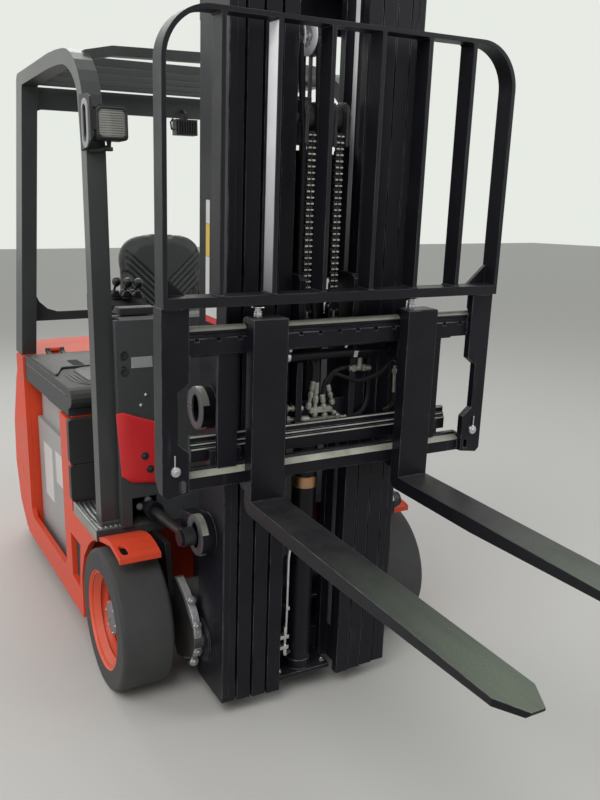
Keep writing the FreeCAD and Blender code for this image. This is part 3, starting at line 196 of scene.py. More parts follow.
def build_edge_wear_and_highlight():
    """Rounded edges: their normal, a line along them on which finishes paint a highlight, and a broken mask of where
    paint is rubbed off them.
    """
    w, i, o = new_group(
        "Edge wear and highlight",
        [("Edge", FLOAT, 0.003), ("Scale", FLOAT, 9.0), ("Amount", FLOAT, 0.5)],
        [("Mask", FLOAT), ("Line", FLOAT), ("Normal", VECTOR)],
    )
    place = w.node("ShaderNodeTexCoord").outputs["Object"]
    bevel = w.node("ShaderNodeBevel", samples=4)
    w.join(i.outputs["Edge"], bevel.inputs["Radius"])
    geometry = w.node("ShaderNodeNewGeometry")
    dot = w.node("ShaderNodeVectorMath", operation="DOT_PRODUCT")
    w.join(bevel.outputs["Normal"], dot.inputs[0])
    w.join(geometry.outputs["Normal"], dot.inputs[1])
    line = w.ranged(dot.outputs["Value"], 0.995, 0.86, 0.0, 1.0)
    patches = w.ranged(w.cloud(place, i.outputs["Scale"], 6.0, 0.7), 0.42, 0.62, 0.0, 1.0)
    level = w.maths("MULTIPLY", w.maths("MULTIPLY", line, patches), i.outputs["Amount"], True)
    w.join(level, o.inputs["Mask"])
    w.join(line, o.inputs["Line"])
    w.join(bevel.outputs["Normal"], o.inputs["Normal"])


def build_grain():
    """Moulded or sprayed grain: a height and a slow variation over the surface."""
    w, i, o = new_group(
        "Grain",
        [("Fine", FLOAT, 900.0), ("Slow", FLOAT, 3.0), ("Depth", FLOAT, 1.0)],
        [("Height", FLOAT), ("Drift", FLOAT)],
    )
    place = w.node("ShaderNodeTexCoord").outputs["Object"]
    fine = w.cloud(place, i.outputs["Fine"], 2.0, 0.5)
    w.join(w.maths("MULTIPLY", fine, i.outputs["Depth"]), o.inputs["Height"])
    w.join(w.ranged(w.cloud(place, i.outputs["Slow"], 5.0, 0.6, 0.4), 0.3, 0.7, 0.0, 1.0), o.inputs["Drift"])


def build_dust():
    """Dust on faces that look up and near the floor, in soft patches."""
    w, i, o = new_group(
        "Dust",
        [("Amount", FLOAT, 0.4), ("Scale", FLOAT, 7.0), ("Floor", FLOAT, 0.45)],
        [("Mask", FLOAT)],
    )
    place = w.node("ShaderNodeTexCoord").outputs["Object"]
    split = w.node("ShaderNodeSeparateXYZ")
    w.join(place, split.inputs[0])
    up = w.node("ShaderNodeSeparateXYZ")
    w.join(w.node("ShaderNodeNewGeometry").outputs["Normal"], up.inputs[0])
    lying = w.ranged(up.outputs["Z"], 0.55, 1.0, 0.0, 1.0)
    low = w.ranged(split.outputs["Z"], i.outputs["Floor"], 0.02, 0.0, 0.6)
    patches = w.ranged(w.cloud(place, i.outputs["Scale"], 7.0, 0.68), 0.36, 0.68, 0.15, 1.0)
    both = w.maths("MAXIMUM", lying, low)
    w.join(w.maths("MULTIPLY", w.maths("MULTIPLY", both, patches), i.outputs["Amount"], True), o.inputs["Mask"])


def build_scratches():
    """Long fine scuffs along Z and a few across, as a mask."""
    w, i, o = new_group(
        "Scuffs",
        [("Density", FLOAT, 40.0), ("Amount", FLOAT, 0.5), ("Stretch", VECTOR, (1.0, 1.0, 0.06))],
        [("Mask", FLOAT)],
    )
    place = w.node("ShaderNodeTexCoord").outputs["Object"]
    along = w.node("ShaderNodeVectorMath", operation="MULTIPLY")
    w.join(place, along.inputs[0])
    w.join(i.outputs["Stretch"], along.inputs[1])
    fine = w.cloud(along.outputs[0], i.outputs["Density"], 8.0, 0.75)
    gate = w.ranged(w.cloud(place, 3.0, 3.0, 0.5), 0.42, 0.6, 0.0, 1.0)
    line = w.ranged(fine, 0.6, 0.72, 0.0, 1.0)
    w.join(w.maths("MULTIPLY", w.maths("MULTIPLY", line, gate), i.outputs["Amount"], True), o.inputs["Mask"])


def build_zone():
    """A mask of the low inner part of the frame, between the wheels, where finishes paint shade."""
    w, i, o = new_group("Inner zone", [("Half", FLOAT, 0.4), ("Front", FLOAT, 0.0), ("Height", FLOAT, 0.5)],
                        [("Mask", FLOAT)])
    split = w.node("ShaderNodeSeparateXYZ")
    w.join(w.node("ShaderNodeTexCoord").outputs["Object"], split.inputs[0])
    parts = []
    for value, limit in ((w.maths("ABSOLUTE", split.outputs["X"]), "Half"), (split.outputs["Y"], "Front"),
                         (split.outputs["Z"], "Height")):
        edge = w.maths("ADD", i.outputs[limit], 0.003)
        parts.append(w.ranged(value, i.outputs[limit], edge, 1.0, 0.0))
    w.join(w.maths("MULTIPLY", w.maths("MULTIPLY", parts[0], parts[1]), parts[2]), o.inputs["Mask"])


def build_load_wear_and_reflection():
    """Paint rubbed off the upper faces of the forks by loads, more towards the tips, which also carries a painted
    reflection on those faces.
    """
    w, i, o = new_group("Load wear and reflection", [("Start", FLOAT, -0.9), ("End", FLOAT, -1.5)], [("Mask", FLOAT)])
    place = w.node("ShaderNodeTexCoord").outputs["Object"]
    split = w.node("ShaderNodeSeparateXYZ")
    w.join(place, split.inputs[0])
    up = w.node("ShaderNodeSeparateXYZ")
    w.join(w.node("ShaderNodeNewGeometry").outputs["Normal"], up.inputs[0])
    along = w.ranged(split.outputs["Y"], i.outputs["Start"], i.outputs["End"], 0.0, 1.0, True)
    lying = w.ranged(up.outputs["Z"], 0.6, 0.9, 0.0, 1.0)
    streak = w.node("ShaderNodeVectorMath", operation="MULTIPLY")
    w.join(place, streak.inputs[0])
    streak.inputs[1].default_value = (1.0, 0.08, 1.0)
    patches = w.ranged(w.cloud(streak.outputs[0], 26.0, 6.0, 0.6), 0.3, 0.62, 0.72, 1.0)
    w.join(w.maths("MULTIPLY", w.maths("MULTIPLY", along, lying), patches), o.inputs["Mask"])


def build_groups():
    """Makes each shared shader group once."""
    for name, make in (
        ("Edge wear and highlight", build_edge_wear_and_highlight),
        ("Grain", build_grain),
        ("Dust", build_dust),
        ("Scuffs", build_scratches),
        ("Inner zone", build_zone),
        ("Load wear and reflection", build_load_wear_and_reflection),
    ):
        if name not in bpy.data.node_groups:
            make()


def rgba(colour, scale=1.0):
    return (min(1.0, colour[0] * scale), min(1.0, colour[1] * scale), min(1.0, colour[2] * scale), 1.0)


def finish(
    name,
    colour,
    rough=0.5,
    spread=0.12,
    metal=0.0,
    edge=0.003,
    worn=0.0,
    worn_colour=(0.35, 0.35, 0.36),
    # lit_edge: how much lighter the colour is painted along rounded edges, a painted highlight.
    lit_edge=1.6,
    drift=0.25,
    grain=(900.0, 3.0, 0.0006),
    dust=0.25,
    dust_colour=(0.23, 0.215, 0.19),
    scuffs=0.0,
    scuff_colour=(0.2, 0.2, 0.2),
    stretch=(1.0, 1.0, 0.06),
    coat=0.0,
    coat_rough=0.15,
    specular=0.5,
    sheen=0.0,
    zone=None,
    painted_shade_colour=(0.0, 0.0, 0.0),
    tip=None,
    tip_wear_and_reflection_colour=(0.0, 0.0, 0.0),
    painted_reflection_fade=None,
    painted_reflection_low_colour=(0.0, 0.0, 0.0),
):
    """A surface with its own drift of colour, rubbed edges, dust, scuffs and grain, a painted highlight along its
    rounded edges, and, where asked, painted shade on a low inner part, fork wear with a painted reflection towards the
    tips, and a painted reflection that dims lower down.
    """
    if name in FINISHES:
        return FINISHES[name]
    material = bpy.data.materials.new(name)
    material.use_nodes = True
    tree = material.node_tree
    tree.nodes.clear()
    w = Wires(tree)
    out = w.node("ShaderNodeOutputMaterial")
    shader = w.node("ShaderNodeBsdfPrincipled")
    w.join(shader.outputs[0], out.inputs["Surface"])

    def group(which, **values):
        made = w.node("ShaderNodeGroup", node_tree=bpy.data.node_groups[which])
        for key, value in values.items():
            made.inputs[key].default_value = value
        return made

    wear = group("Edge wear and highlight", Edge=edge, Scale=9.0, Amount=worn)
    texture = group("Grain", Fine=grain[0], Slow=grain[1], Depth=1.0)
    lying = group("Dust", Amount=dust)
    shade = w.mixed(texture.outputs["Drift"], rgba(colour, 1.0 - drift), rgba(colour, 1.0 + drift))
    # Painted highlight: along rounded edges the colour is made lit_edge times lighter.
    shade = w.mixed(w.maths("MULTIPLY", wear.outputs["Line"], 0.6), shade, rgba(colour, lit_edge))
    if scuffs:
        rubs = group("Scuffs", Amount=scuffs, Stretch=stretch)
        shade = w.mixed(rubs.outputs["Mask"], shade, rgba(scuff_colour))
    # Painted shade: the low inner part of the frame, between the wheels, is painted near black.
    if zone:
        inner = group("Inner zone", Half=zone[0], Front=zone[1], Height=zone[2])
        shade = w.mixed(inner.outputs["Mask"], shade, rgba(painted_shade_colour))
    # Painted reflection: lower down the colour is mixed towards a darker one, so a painted reflection dims downwards.
    if painted_reflection_fade:
        place = w.node("ShaderNodeSeparateXYZ")
        w.join(w.node("ShaderNodeTexCoord").outputs["Object"], place.inputs[0])
        shade = w.mixed(w.ranged(place.outputs["Z"], painted_reflection_fade[0], painted_reflection_fade[1], 0.0, 1.0), shade, rgba(painted_reflection_low_colour))
    shade = w.mixed(lying.outputs["Mask"], shade, rgba(dust_colour))
    # Fork tips: the upper faces turn paler towards the tips, partly paint wear and partly a painted reflection.
    if tip:
        rubbed = group("Load wear and reflection", Start=tip[0], End=tip[1])
        shade = w.mixed(rubbed.outputs["Mask"], shade, rgba(tip_wear_and_reflection_colour))
    shade = w.mixed(wear.outputs["Mask"], shade, rgba(worn_colour))
    w.join(shade, shader.inputs["Base Color"])
    level = w.ranged(texture.outputs["Drift"], 0.0, 1.0, rough - spread, rough + spread)
    level = w.maths("ADD", level, w.maths("MULTIPLY", lying.outputs["Mask"], 0.35), True)
    w.join(level, shader.inputs["Roughness"])
    if metal:
        shader.inputs["Metallic"].default_value = metal
    elif tip:
        w.join(w.maths("MAXIMUM", wear.outputs["Mask"], w.maths("MULTIPLY", rubbed.outputs["Mask"], 0.75)),
               shader.inputs["Metallic"])
    elif worn:
        w.join(wear.outputs["Mask"], shader.inputs["Metallic"])
    bump = w.node("ShaderNodeBump")
    bump.inputs["Strength"].default_value = 1.0
    bump.inputs["Distance"].default_value = grain[2]
    w.join(texture.outputs["Height"], bump.inputs["Height"])
    w.join(wear.outputs["Normal"], bump.inputs["Normal"])
    w.join(bump.outputs["Normal"], shader.inputs["Normal"])
    shader.inputs["Coat Weight"].default_value = coat
    shader.inputs["Coat Roughness"].default_value = coat_rough
    shader.inputs["Specular IOR Level"].default_value = specular
    if sheen:
        shader.inputs["Sheen Weight"].default_value = sheen
        shader.inputs["Sheen Roughness"].default_value = 0.4
    FINISHES[name] = material
    return material


def build_finishes(c):
    """Every finish of the truck, by name."""
    build_groups()
    body, rim, guard = tuple(c.body_paint), tuple(c.rim_paint), tuple(c.guard_paint)
    finish("body paint", body, 0.4, 0.07, drift=0.10, worn=0.25, lit_edge=1.15, dust=0.05,
           grain=(420.0, 3.0, 0.0003), scuffs=0.25, scuff_colour=(0.34, 0.045, 0.025), specular=0.22)
    # The frame is painted near black low between the wheels: painted shade.
    finish("frame paint", body, 0.42, 0.07, drift=0.10, worn=0.25, lit_edge=1.15, dust=0.06,
           grain=(420.0, 3.0, 0.0003), scuffs=0.25, scuff_colour=(0.34, 0.045, 0.025), specular=0.22,
           zone=(0.395, 0.10, 0.476), painted_shade_colour=(0.012, 0.012, 0.014))
    finish("rim paint", rim, 0.4, 0.1, drift=0.16, worn=0.35, lit_edge=1.2, dust=0.2, coat=0.1,
           scuffs=0.5, scuff_colour=(0.20, 0.03, 0.02))
    finish("guard paint", guard, 0.38, 0.07, drift=0.15, worn=0.25, lit_edge=2.0, dust=0.25, coat=0.2,
           grain=(500.0, 2.0, 0.0004), scuffs=0.2, scuff_colour=(0.1, 0.1, 0.1))
    finish("mast paint", tuple(c.mast_paint), 0.36, 0.1, drift=0.25, worn=0.9, lit_edge=3.0, dust=0.06, edge=0.0025,
           worn_colour=(0.30, 0.30, 0.33), scuffs=0.55, scuff_colour=(0.06, 0.06, 0.072), grain=(260.0, 4.0, 0.0006),
           specular=0.2)
    finish("worn bar", (0.17, 0.175, 0.145), 0.34, 0.1, drift=0.35, worn=0.9, lit_edge=1.8, dust=0.1, edge=0.0015,
           worn_colour=(0.45, 0.45, 0.44), scuffs=0.7, scuff_colour=(0.24, 0.24, 0.21), stretch=(0.08, 1.0, 1.0),
           grain=(300.0, 8.0, 0.0005), specular=0.5)
    finish("lug grey", (0.060, 0.058, 0.066), 0.42, 0.1, drift=0.25, worn=0.4, lit_edge=2.2, dust=0.1, edge=0.002,
           worn_colour=(0.4, 0.4, 0.38), grain=(260.0, 6.0, 0.0006))
    finish("worn face", (0.27, 0.28, 0.225), 0.34, 0.1, drift=0.45, worn=0.6, lit_edge=1.6, dust=0.1, edge=0.0015,
           worn_colour=(0.6, 0.6, 0.55), scuffs=0.8, scuff_colour=(0.12, 0.12, 0.10), stretch=(0.08, 1.0, 1.0),
           grain=(300.0, 8.0, 0.0005))
    finish("edge steel", (0.46, 0.47, 0.41), 0.34, 0.1, metal=0.25, drift=0.3, lit_edge=1.4, dust=0.1, edge=0.001,
           scuffs=0.7, scuff_colour=(0.20, 0.20, 0.18), stretch=(0.08, 1.0, 1.0), grain=(300.0, 8.0, 0.0004))
    # Bright metallic bands for the lug rims: a painted highlight.
    finish("painted rim highlight", (0.42, 0.43, 0.38), 0.34, 0.12, drift=0.4, metal=0.4, lit_edge=1.5, dust=0.05, edge=0.0015,
           scuffs=0.7, scuff_colour=(0.03, 0.03, 0.032), stretch=(1.0, 1.0, 1.0), grain=(300.0, 9.0, 0.0005))
    finish("worn strap", (0.34, 0.34, 0.355), 0.38, 0.12, drift=0.4, metal=0.4, lit_edge=2.6, dust=0.1, edge=0.004,
           scuffs=0.6, scuff_colour=(0.42, 0.42, 0.44), stretch=(1.0, 1.0, 0.4), grain=(160.0, 9.0, 0.0018))
    # tip makes the forks' upper faces paler towards the tips: paint wear and a painted reflection.
    finish("fork paint", tuple(c.fork_paint), 0.34, 0.1, drift=0.25, worn=0.6, lit_edge=2.6, dust=0.12, edge=0.0035,
           worn_colour=(0.26, 0.28, 0.27), scuffs=0.6, scuff_colour=(0.05, 0.058, 0.056), stretch=(1.0, 0.06, 1.0),
           grain=(220.0, 5.0, 0.0006), specular=0.2, tip=(-0.90, -1.55), tip_wear_and_reflection_colour=(0.15, 0.175, 0.14))
    finish("rest paint", tuple(c.fork_paint), 0.44, 0.1, drift=0.2, worn=0.4, lit_edge=3.0, dust=0.06, edge=0.003,
           worn_colour=(0.24, 0.25, 0.24), scuffs=0.4, scuff_colour=(0.045, 0.05, 0.046), grain=(300.0, 4.0, 0.0005),
           specular=0.22)
    finish("moulding", tuple(c.moulding), 0.55, 0.06, drift=0.12, lit_edge=1.5, dust=0.2,
           grain=(1400.0, 3.0, 0.0009))
    finish("hood skin", (0.022, 0.025, 0.026), 0.5, 0.06, drift=0.14, lit_edge=1.8, dust=0.35, edge=0.004,
           grain=(1100.0, 3.0, 0.0008))
    finish("panel red", tuple(c.panel_red), 0.4, 0.05, drift=0.08, lit_edge=1.2, dust=0.12, grain=(1200.0, 3.0, 0.0005))
    finish("black moulding", (0.012, 0.012, 0.013), 0.48, 0.07, drift=0.2, lit_edge=2.2, dust=0.2, edge=0.0015,
           grain=(1500.0, 5.0, 0.0006))
    finish("battery case", tuple(c.battery_case), 0.42, 0.08, drift=0.08, lit_edge=1.15, dust=0.25, worn=0.2,
           grain=(500.0, 3.0, 0.0004))
    finish("rubber", (0.028, 0.029, 0.031), 0.68, 0.1, drift=0.22, lit_edge=1.6, dust=0.55, edge=0.006,
           dust_colour=(0.12, 0.112, 0.10), grain=(500.0, 6.0, 0.0012))
    finish("bare steel", (0.42, 0.42, 0.43), 0.34, 0.12, metal=1.0, drift=0.2, lit_edge=1.3, dust=0.2,
           scuffs=0.4, scuff_colour=(0.2, 0.2, 0.2), grain=(700.0, 6.0, 0.0004))
    finish("zinc", (0.56, 0.56, 0.58), 0.3, 0.1, metal=1.0, drift=0.15, lit_edge=1.2, dust=0.15, edge=0.001,
           grain=(700.0, 12.0, 0.0003))
    finish("chrome rod", (0.66, 0.66, 0.68), 0.14, 0.05, metal=1.0, drift=0.06, lit_edge=1.05, dust=0.08,
           grain=(900.0, 6.0, 0.0001))
    finish("dull rod", (0.035, 0.035, 0.038), 0.4, 0.1, metal=0.7, drift=0.25, lit_edge=2.0, dust=0.1, edge=0.0015,
           grain=(400.0, 8.0, 0.0003))
    finish("cast iron", (0.024, 0.024, 0.026), 0.5, 0.12, drift=0.3, worn=0.5, lit_edge=2.6, dust=0.4, edge=0.004,
           grain=(180.0, 8.0, 0.0022), coat=0.1)
    finish("chain steel", (0.07, 0.068, 0.066), 0.36, 0.14, metal=0.9, drift=0.4, lit_edge=1.8, dust=0.2, edge=0.001,
           worn_colour=(0.6, 0.58, 0.55), grain=(600.0, 20.0, 0.0005))
    # Pale finish of the chain rungs: a painted highlight.
    finish("painted chain highlight", (0.62, 0.61, 0.60), 0.36, 0.1, metal=0.55, drift=0.25, lit_edge=1.2, dust=0.1, edge=0.0008,
           grain=(700.0, 14.0, 0.0003))
    # Near white, darker lower down: a painted reflection on polished wear strips and on a backrest bar's side.
    finish("painted reflection strip", (0.92, 0.92, 0.95), 0.4, 0.08, metal=0.02, drift=0.2, lit_edge=1.2, dust=0.1, edge=0.001,
           scuffs=0.3, scuff_colour=(0.6, 0.6, 0.63), stretch=(1.0, 1.0, 0.05), grain=(300.0, 6.0, 0.0003),
           painted_reflection_fade=(1.85, 1.30), painted_reflection_low_colour=(0.11, 0.11, 0.12))
    finish("old zinc", (0.27, 0.27, 0.235), 0.4, 0.1, metal=0.45, drift=0.3, lit_edge=1.7, dust=0.3, edge=0.001,
           grain=(500.0, 14.0, 0.0004))
    finish("alloy tread", (0.50, 0.51, 0.52), 0.36, 0.1, metal=1.0, drift=0.15, lit_edge=1.3, dust=0.3,
           scuffs=0.5, scuff_colour=(0.25, 0.25, 0.25), stretch=(1.0, 0.1, 1.0), grain=(400.0, 8.0, 0.0006))
    finish("brass", (0.42, 0.24, 0.13), 0.3, 0.1, metal=1.0, drift=0.2, lit_edge=1.3, dust=0.2)
    finish("sheave", (0.66, 0.65, 0.70), 0.38, 0.08, drift=0.08, lit_edge=1.1, dust=0.15, grain=(700.0, 5.0, 0.0003))
    finish("hose rubber", (0.006, 0.006, 0.007), 0.5, 0.08, drift=0.2, lit_edge=1.8, dust=0.1, edge=0.001,
           grain=(900.0, 8.0, 0.0007), specular=0.22)
    finish("blank label", (0.62, 0.62, 0.60), 0.4, 0.06, drift=0.05, lit_edge=1.0, dust=0.2, edge=0.0004)
    finish("yellow label", (0.70, 0.46, 0.05), 0.4, 0.06, drift=0.06, lit_edge=1.0, dust=0.2, edge=0.0004)
    finish("vinyl", tuple(c.seat_cover), 0.44, 0.07, drift=0.18, lit_edge=1.3, dust=0.2, edge=0.002,
           grain=(650.0, 4.0, 0.0014), specular=0.5)
    # Dark nuts whose rounded edges are painted four times lighter: a painted highlight.
    finish("nut with painted edge highlight", (0.045, 0.045, 0.048), 0.36, 0.1, metal=0.7, drift=0.35, lit_edge=4.0, dust=0.2, edge=0.0012)
    finish("hub grey", (0.17, 0.175, 0.18), 0.4, 0.1, metal=0.5, drift=0.3, lit_edge=1.6, dust=0.35, edge=0.002,
           scuffs=0.4, scuff_colour=(0.05, 0.05, 0.05), grain=(400.0, 9.0, 0.0006))
    # The rim lips wear the rim paint made lighter: a painted highlight.
    finish("rim edge highlight", rgba(rim, 1.15)[:3], 0.36, 0.1, drift=0.12, worn=0.25, lit_edge=1.5, dust=0.2, edge=0.002)
    finish("tread side", (0.30, 0.285, 0.25), 0.5, 0.12, metal=0.4, drift=0.25, lit_edge=1.6, dust=0.3, edge=0.001)
    finish("grey plug", (0.045, 0.045, 0.048), 0.5, 0.08, drift=0.25, lit_edge=2.4, dust=0.15, edge=0.0015, specular=0.3)
    finish("tyre ring", (0.055, 0.056, 0.058), 0.6, 0.1, drift=0.25, lit_edge=1.6, dust=0.4, edge=0.001,
           dust_colour=(0.12, 0.112, 0.10), grain=(500.0, 6.0, 0.0008))
    finish("hood pad", (0.030, 0.037, 0.039), 0.4, 0.06, drift=0.14, lit_edge=1.8, dust=0.5, edge=0.003,
           grain=(1100.0, 3.0, 0.0008))
    finish("hood nose", (0.034, 0.037, 0.039), 0.26, 0.05, drift=0.14, lit_edge=1.8, dust=0.35, edge=0.003,
           grain=(1100.0, 3.0, 0.0004))
    # Near black for openings: painted shade.
    finish("painted slot shade", (0.003, 0.003, 0.0035), 0.7, 0.05, drift=0.2, lit_edge=1.0, dust=0.02, edge=0.0005,
           specular=0.2)
    finish("gloss black", (0.006, 0.006, 0.0065), 0.2, 0.05, drift=0.2, lit_edge=2.0, dust=0.08, edge=0.001)
    finish("lamp plate", (0.30, 0.31, 0.32), 0.34, 0.08, drift=0.15, lit_edge=1.5, dust=0.15, edge=0.001)
    finish("grille", (0.035, 0.036, 0.038), 0.35, 0.08, drift=0.2, lit_edge=1.4, dust=0.3, edge=0.0008)
    finish("lamp glass", (0.24, 0.24, 0.22), 0.14, 0.04, drift=0.2, lit_edge=1.1, dust=0.1, coat=1.0, coat_rough=0.03,
           grain=(120.0, 6.0, 0.0008))


# Which finish each solid wears.
WORN_BY = {
    "body paint": ("counterweight", "frame_sides", "mudguards"),
    "frame paint": ("chassis_frame",),
    "guard paint": ("overhead_guard", "guard_roof_bars"),
    "hood skin": ("hood",),
    "mast paint": ("mast_stage_1", "mast_stage_2", "mast_stage_3", "mast_stage_4", "carriage", "sideshift_frame",
                   "lift_barrels", "free_lift_barrel", "sideshift_barrel", "tilt_barrel_left", "tilt_barrel_right"),
    "fork paint": ("fork_left", "fork_right"),
    "rest paint": ("load_backrest",),
    "battery case": ("battery",),
    "moulding": ("cowl", "cowl_tunnels"),
    "panel red": ("cowl_panels",),
    "black moulding": ("side_grilles", "seat_base", "steering_wheel", "steering_column", "work_lamps",
                       "work_lamp_rear", "armrest_console", "levers"),
    "vinyl": ("seat_back", "seat_cushion"),
    "rubber": ("tyre_front_left", "tyre_front_right", "tyre_rear_left", "tyre_rear_right", "floor_plate"),
    "rim paint": ("wheel_front_left", "wheel_front_right", "wheel_rear"),
    "chain steel": ("lift_chains",),
    "chrome rod": ("lift_rods",),
    "dull rod": ("tilt_rod_left", "tilt_rod_right"),
    "cast iron": ("crosshead", "drive_axle", "steer_bearing", "steer_bogie"),
}


# ---- shaping -----------------------------------------------------------------------------


class Stock:
    """Material being shaped into one piece, in drawing millimetres."""

    def __init__(self):
        self.bm = bmesh.new()

    def mesh(self, points, faces):
        made = [self.bm.verts.new(p) for p in points]
        for face in faces:
            self.bm.faces.new([made[i] for i in face])
        return made

    def block(self, x0, x1, y0, y1, z0, z1):
        points = [(x, y, z) for z in (z0, z1) for y in (y0, y1) for x in (x0, x1)]
        self.mesh(points, ((0, 2, 3, 1), (4, 5, 7, 6), (0, 1, 5, 4), (2, 6, 7, 3), (0, 4, 6, 2), (1, 3, 7, 5)))
        return self

    def prism(self, outline, axis, low, high):
        """An outline drawn in the two other axes, in X Y Z order, pulled along axis."""
        rest = [k for k in range(3) if k != axis]

        def point(p, level):
            out = [0.0, 0.0, 0.0]
            out[rest[0]], out[rest[1]], out[axis] = p[0], p[1], level
            return out

        count = len(outline)
        points = [point(p, low) for p in outline] + [point(p, high) for p in outline]
        sides = [(k, (k + 1) % count, (k + 1) % count + count, k + count) for k in range(count)]
        self.mesh(points, [tuple(range(count)), tuple(range(count, 2 * count))] + sides)
        return self

    def lathe(self, profile, centre, axis, steps=32):
        """A profile of (radius, height) turned round a line through centre along axis."""
        axis = Vector(axis).normalized()
        side = axis.orthogonal().normalized()
        other = axis.cross(side)
        centre = Vector(centre)
        rings = []
        for radius, height in profile:
            if radius < 1e-6:
                rings.append([self.bm.verts.new(centre + axis * height)])
                continue
            ring = []
            for k in range(steps):
                a = 2.0 * math.pi * k / steps
                ring.append(self.bm.verts.new(
                    centre + axis * height + (side * math.cos(a) + other * math.sin(a)) * radius))
            rings.append(ring)
        for low, high in zip(rings, rings[1:]):
            for k in range(steps):
                n = (k + 1) % steps
                if len(low) == 1 and len(high) == 1:
                    continue
                if len(low) == 1:
                    self.bm.faces.new((low[0], high[k], high[n]))
                elif len(high) == 1:
                    self.bm.faces.new((low[k], low[n], high[0]))
                else:
                    self.bm.faces.new((low[k], low[n], high[n], high[k]))
        for ring in (rings[0], rings[-1]):
            if len(ring) > 2 and profile[0] != profile[-1]:
                self.bm.faces.new(ring)
        return self

    def bar(self, a, b, radius, steps=20, chamfer=0.0):
        """A round bar from a to b with a small chamfer at each end."""
        a, b = Vector(a), Vector(b)
        long = (b - a).length
        c = chamfer or min(radius * 0.15, long * 0.2)
        profile = [(0.0, 0.0), (radius - c, 0.0), (radius, c), (radius, long - c), (radius - c, long), (0.0, long)]
        return self.lathe(profile, a, b - a, steps)

    def hexagon(self, centre, axis, radius, height, turn=0.0):
        """A nut or bolt head with chamfered corners."""
        axis = Vector(axis).normalized()
        side = axis.orthogonal().normalized()
        side = Matrix.Rotation(turn, 3, axis) @ side
        other = axis.cross(side)
        centre = Vector(centre)
        rings = []
        for scale, level in ((0.93, 0.0), (1.0, 0.12), (1.0, 0.82), (0.86, 1.0)):
            rings.append([self.bm.verts.new(centre + axis * height * level + (
                side * math.cos(k * math.pi / 3) + other * math.sin(k * math.pi / 3)) * radius * scale)
                for k in range(6)])
        for low, high in zip(rings, rings[1:]):
            for k in range(6):
                self.bm.faces.new((low[k], low[(k + 1) % 6], high[(k + 1) % 6], high[k]))
        self.bm.faces.new(rings[0])
        self.bm.faces.new(rings[-1])
        return self

    def tube(self, points, radius, steps=12, closed_ends=True):
        """A round section swept along points."""
        points = [Vector(p) for p in points]
        radii = radius if isinstance(radius, (list, tuple)) else [radius] * len(points)
        rings = []
        side = None
        for k, p in enumerate(points):
            ahead = (points[min(k + 1, len(points) - 1)] - points[max(k - 1, 0)]).normalized()
            if side is None:
                side = ahead.orthogonal().normalized()
            side = (side - ahead * side.dot(ahead)).normalized()
            other = ahead.cross(side)
            rings.append([self.bm.verts.new(p + (
                side * math.cos(2 * math.pi * j / steps) + other * math.sin(2 * math.pi * j / steps)) * radii[k])
                for j in range(steps)])
        for low, high in zip(rings, rings[1:]):
            for j in range(steps):
                self.bm.faces.new((low[j], low[(j + 1) % steps], high[(j + 1) % steps], high[j]))
        if closed_ends:
            self.bm.faces.new(rings[0])
            self.bm.faces.new(rings[-1])
        return self

    def loft(self, rings, close=True, caps=True):
        """Rings of equally many points joined into a skin."""
        made = [[self.bm.verts.new(p) for p in ring] for ring in rings]
        count = len(made[0])
        for low, high in zip(made, made[1:]):
            for k in range(count if close else count - 1):
                n = (k + 1) % count
                self.bm.faces.new((low[k], low[n], high[n], high[k]))
        if caps:
            self.bm.faces.new(made[0])
            self.bm.faces.new(made[-1])
        return self

    def mirrored(self):
        """Adds the same shape on the truck's other side."""
        copy = bmesh.ops.duplicate(self.bm, geom=self.bm.verts[:] + self.bm.edges[:] + self.bm.faces[:])
        for v in copy["geom"]:
            if isinstance(v, bmesh.types.BMVert):
                v.co.x = -v.co.x
        return self

    def done(self, name, body, wears, slot, leaned=False, bevel=0.0, segments=2, smooth=35.0, keep_normals=False):
        """The finished piece: rounded, in metres, with its finish, riding on its body."""
        bm = self.bm
        for v in bm.verts:
            v.co = at(v.co, leaned)
        bmesh.ops.remove_doubles(bm, verts=bm.verts[:], dist=1e-6)
        if not keep_normals:
            bmesh.ops.recalc_face_normals(bm, faces=bm.faces[:])
        mesh = bpy.data.meshes.new(name)
        bm.to_mesh(mesh)
        bm.free()
        return settle(mesh, name, body, wears, bevel / 1000.0, segments, smooth)


def settle(mesh, name, body, wears, bevel=0.0, segments=2, smooth=35.0):
    """Puts a mesh in the scene with its finish and body."""
    piece = bpy.data.objects.new(name, mesh)
    bpy.context.scene.collection.objects.link(piece)
    mesh.materials.clear()
    mesh.materials.append(FINISHES[wears])
    mesh.polygons.foreach_set("material_index", [0] * len(mesh.polygons))
    soften(mesh, smooth)
    if bevel:
        rounding = piece.modifiers.new("Rounding", "BEVEL")
        rounding.width = bevel
        rounding.segments = segments
        rounding.limit_method = "ANGLE"
        rounding.angle_limit = math.radians(38)
        rounding.harden_normals = True
    if body:
        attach(piece, body)
    return piece


def soften(mesh, degrees):
    """Smooth shading with sharp edges over the angle."""
    mesh.polygons.foreach_set("use_smooth", [True] * len(mesh.polygons))
    mesh.set_sharp_from_angle(angle=math.radians(degrees))


# ---- repeats -----------------------------------------------------------------------------


def new_repeat(name, sockets):
    """An empty geometry tree with named inputs: label, kind, default."""
    tree = bpy.data.node_groups.new(name, "GeometryNodeTree")
    tree.is_modifier = True
    tree.interface.new_socket("Geometry", in_out="INPUT", socket_type="NodeSocketGeometry")
    tree.interface.new_socket("Geometry", in_out="OUTPUT", socket_type="NodeSocketGeometry")
    for label, kind, default in sockets:
        socket = tree.interface.new_socket(label, in_out="INPUT", socket_type=kind)
        if default is not None:
            socket.default_value = default
    wires = Wires(tree)
    return tree, wires, wires.node("NodeGroupInput"), wires.node("NodeGroupOutput")


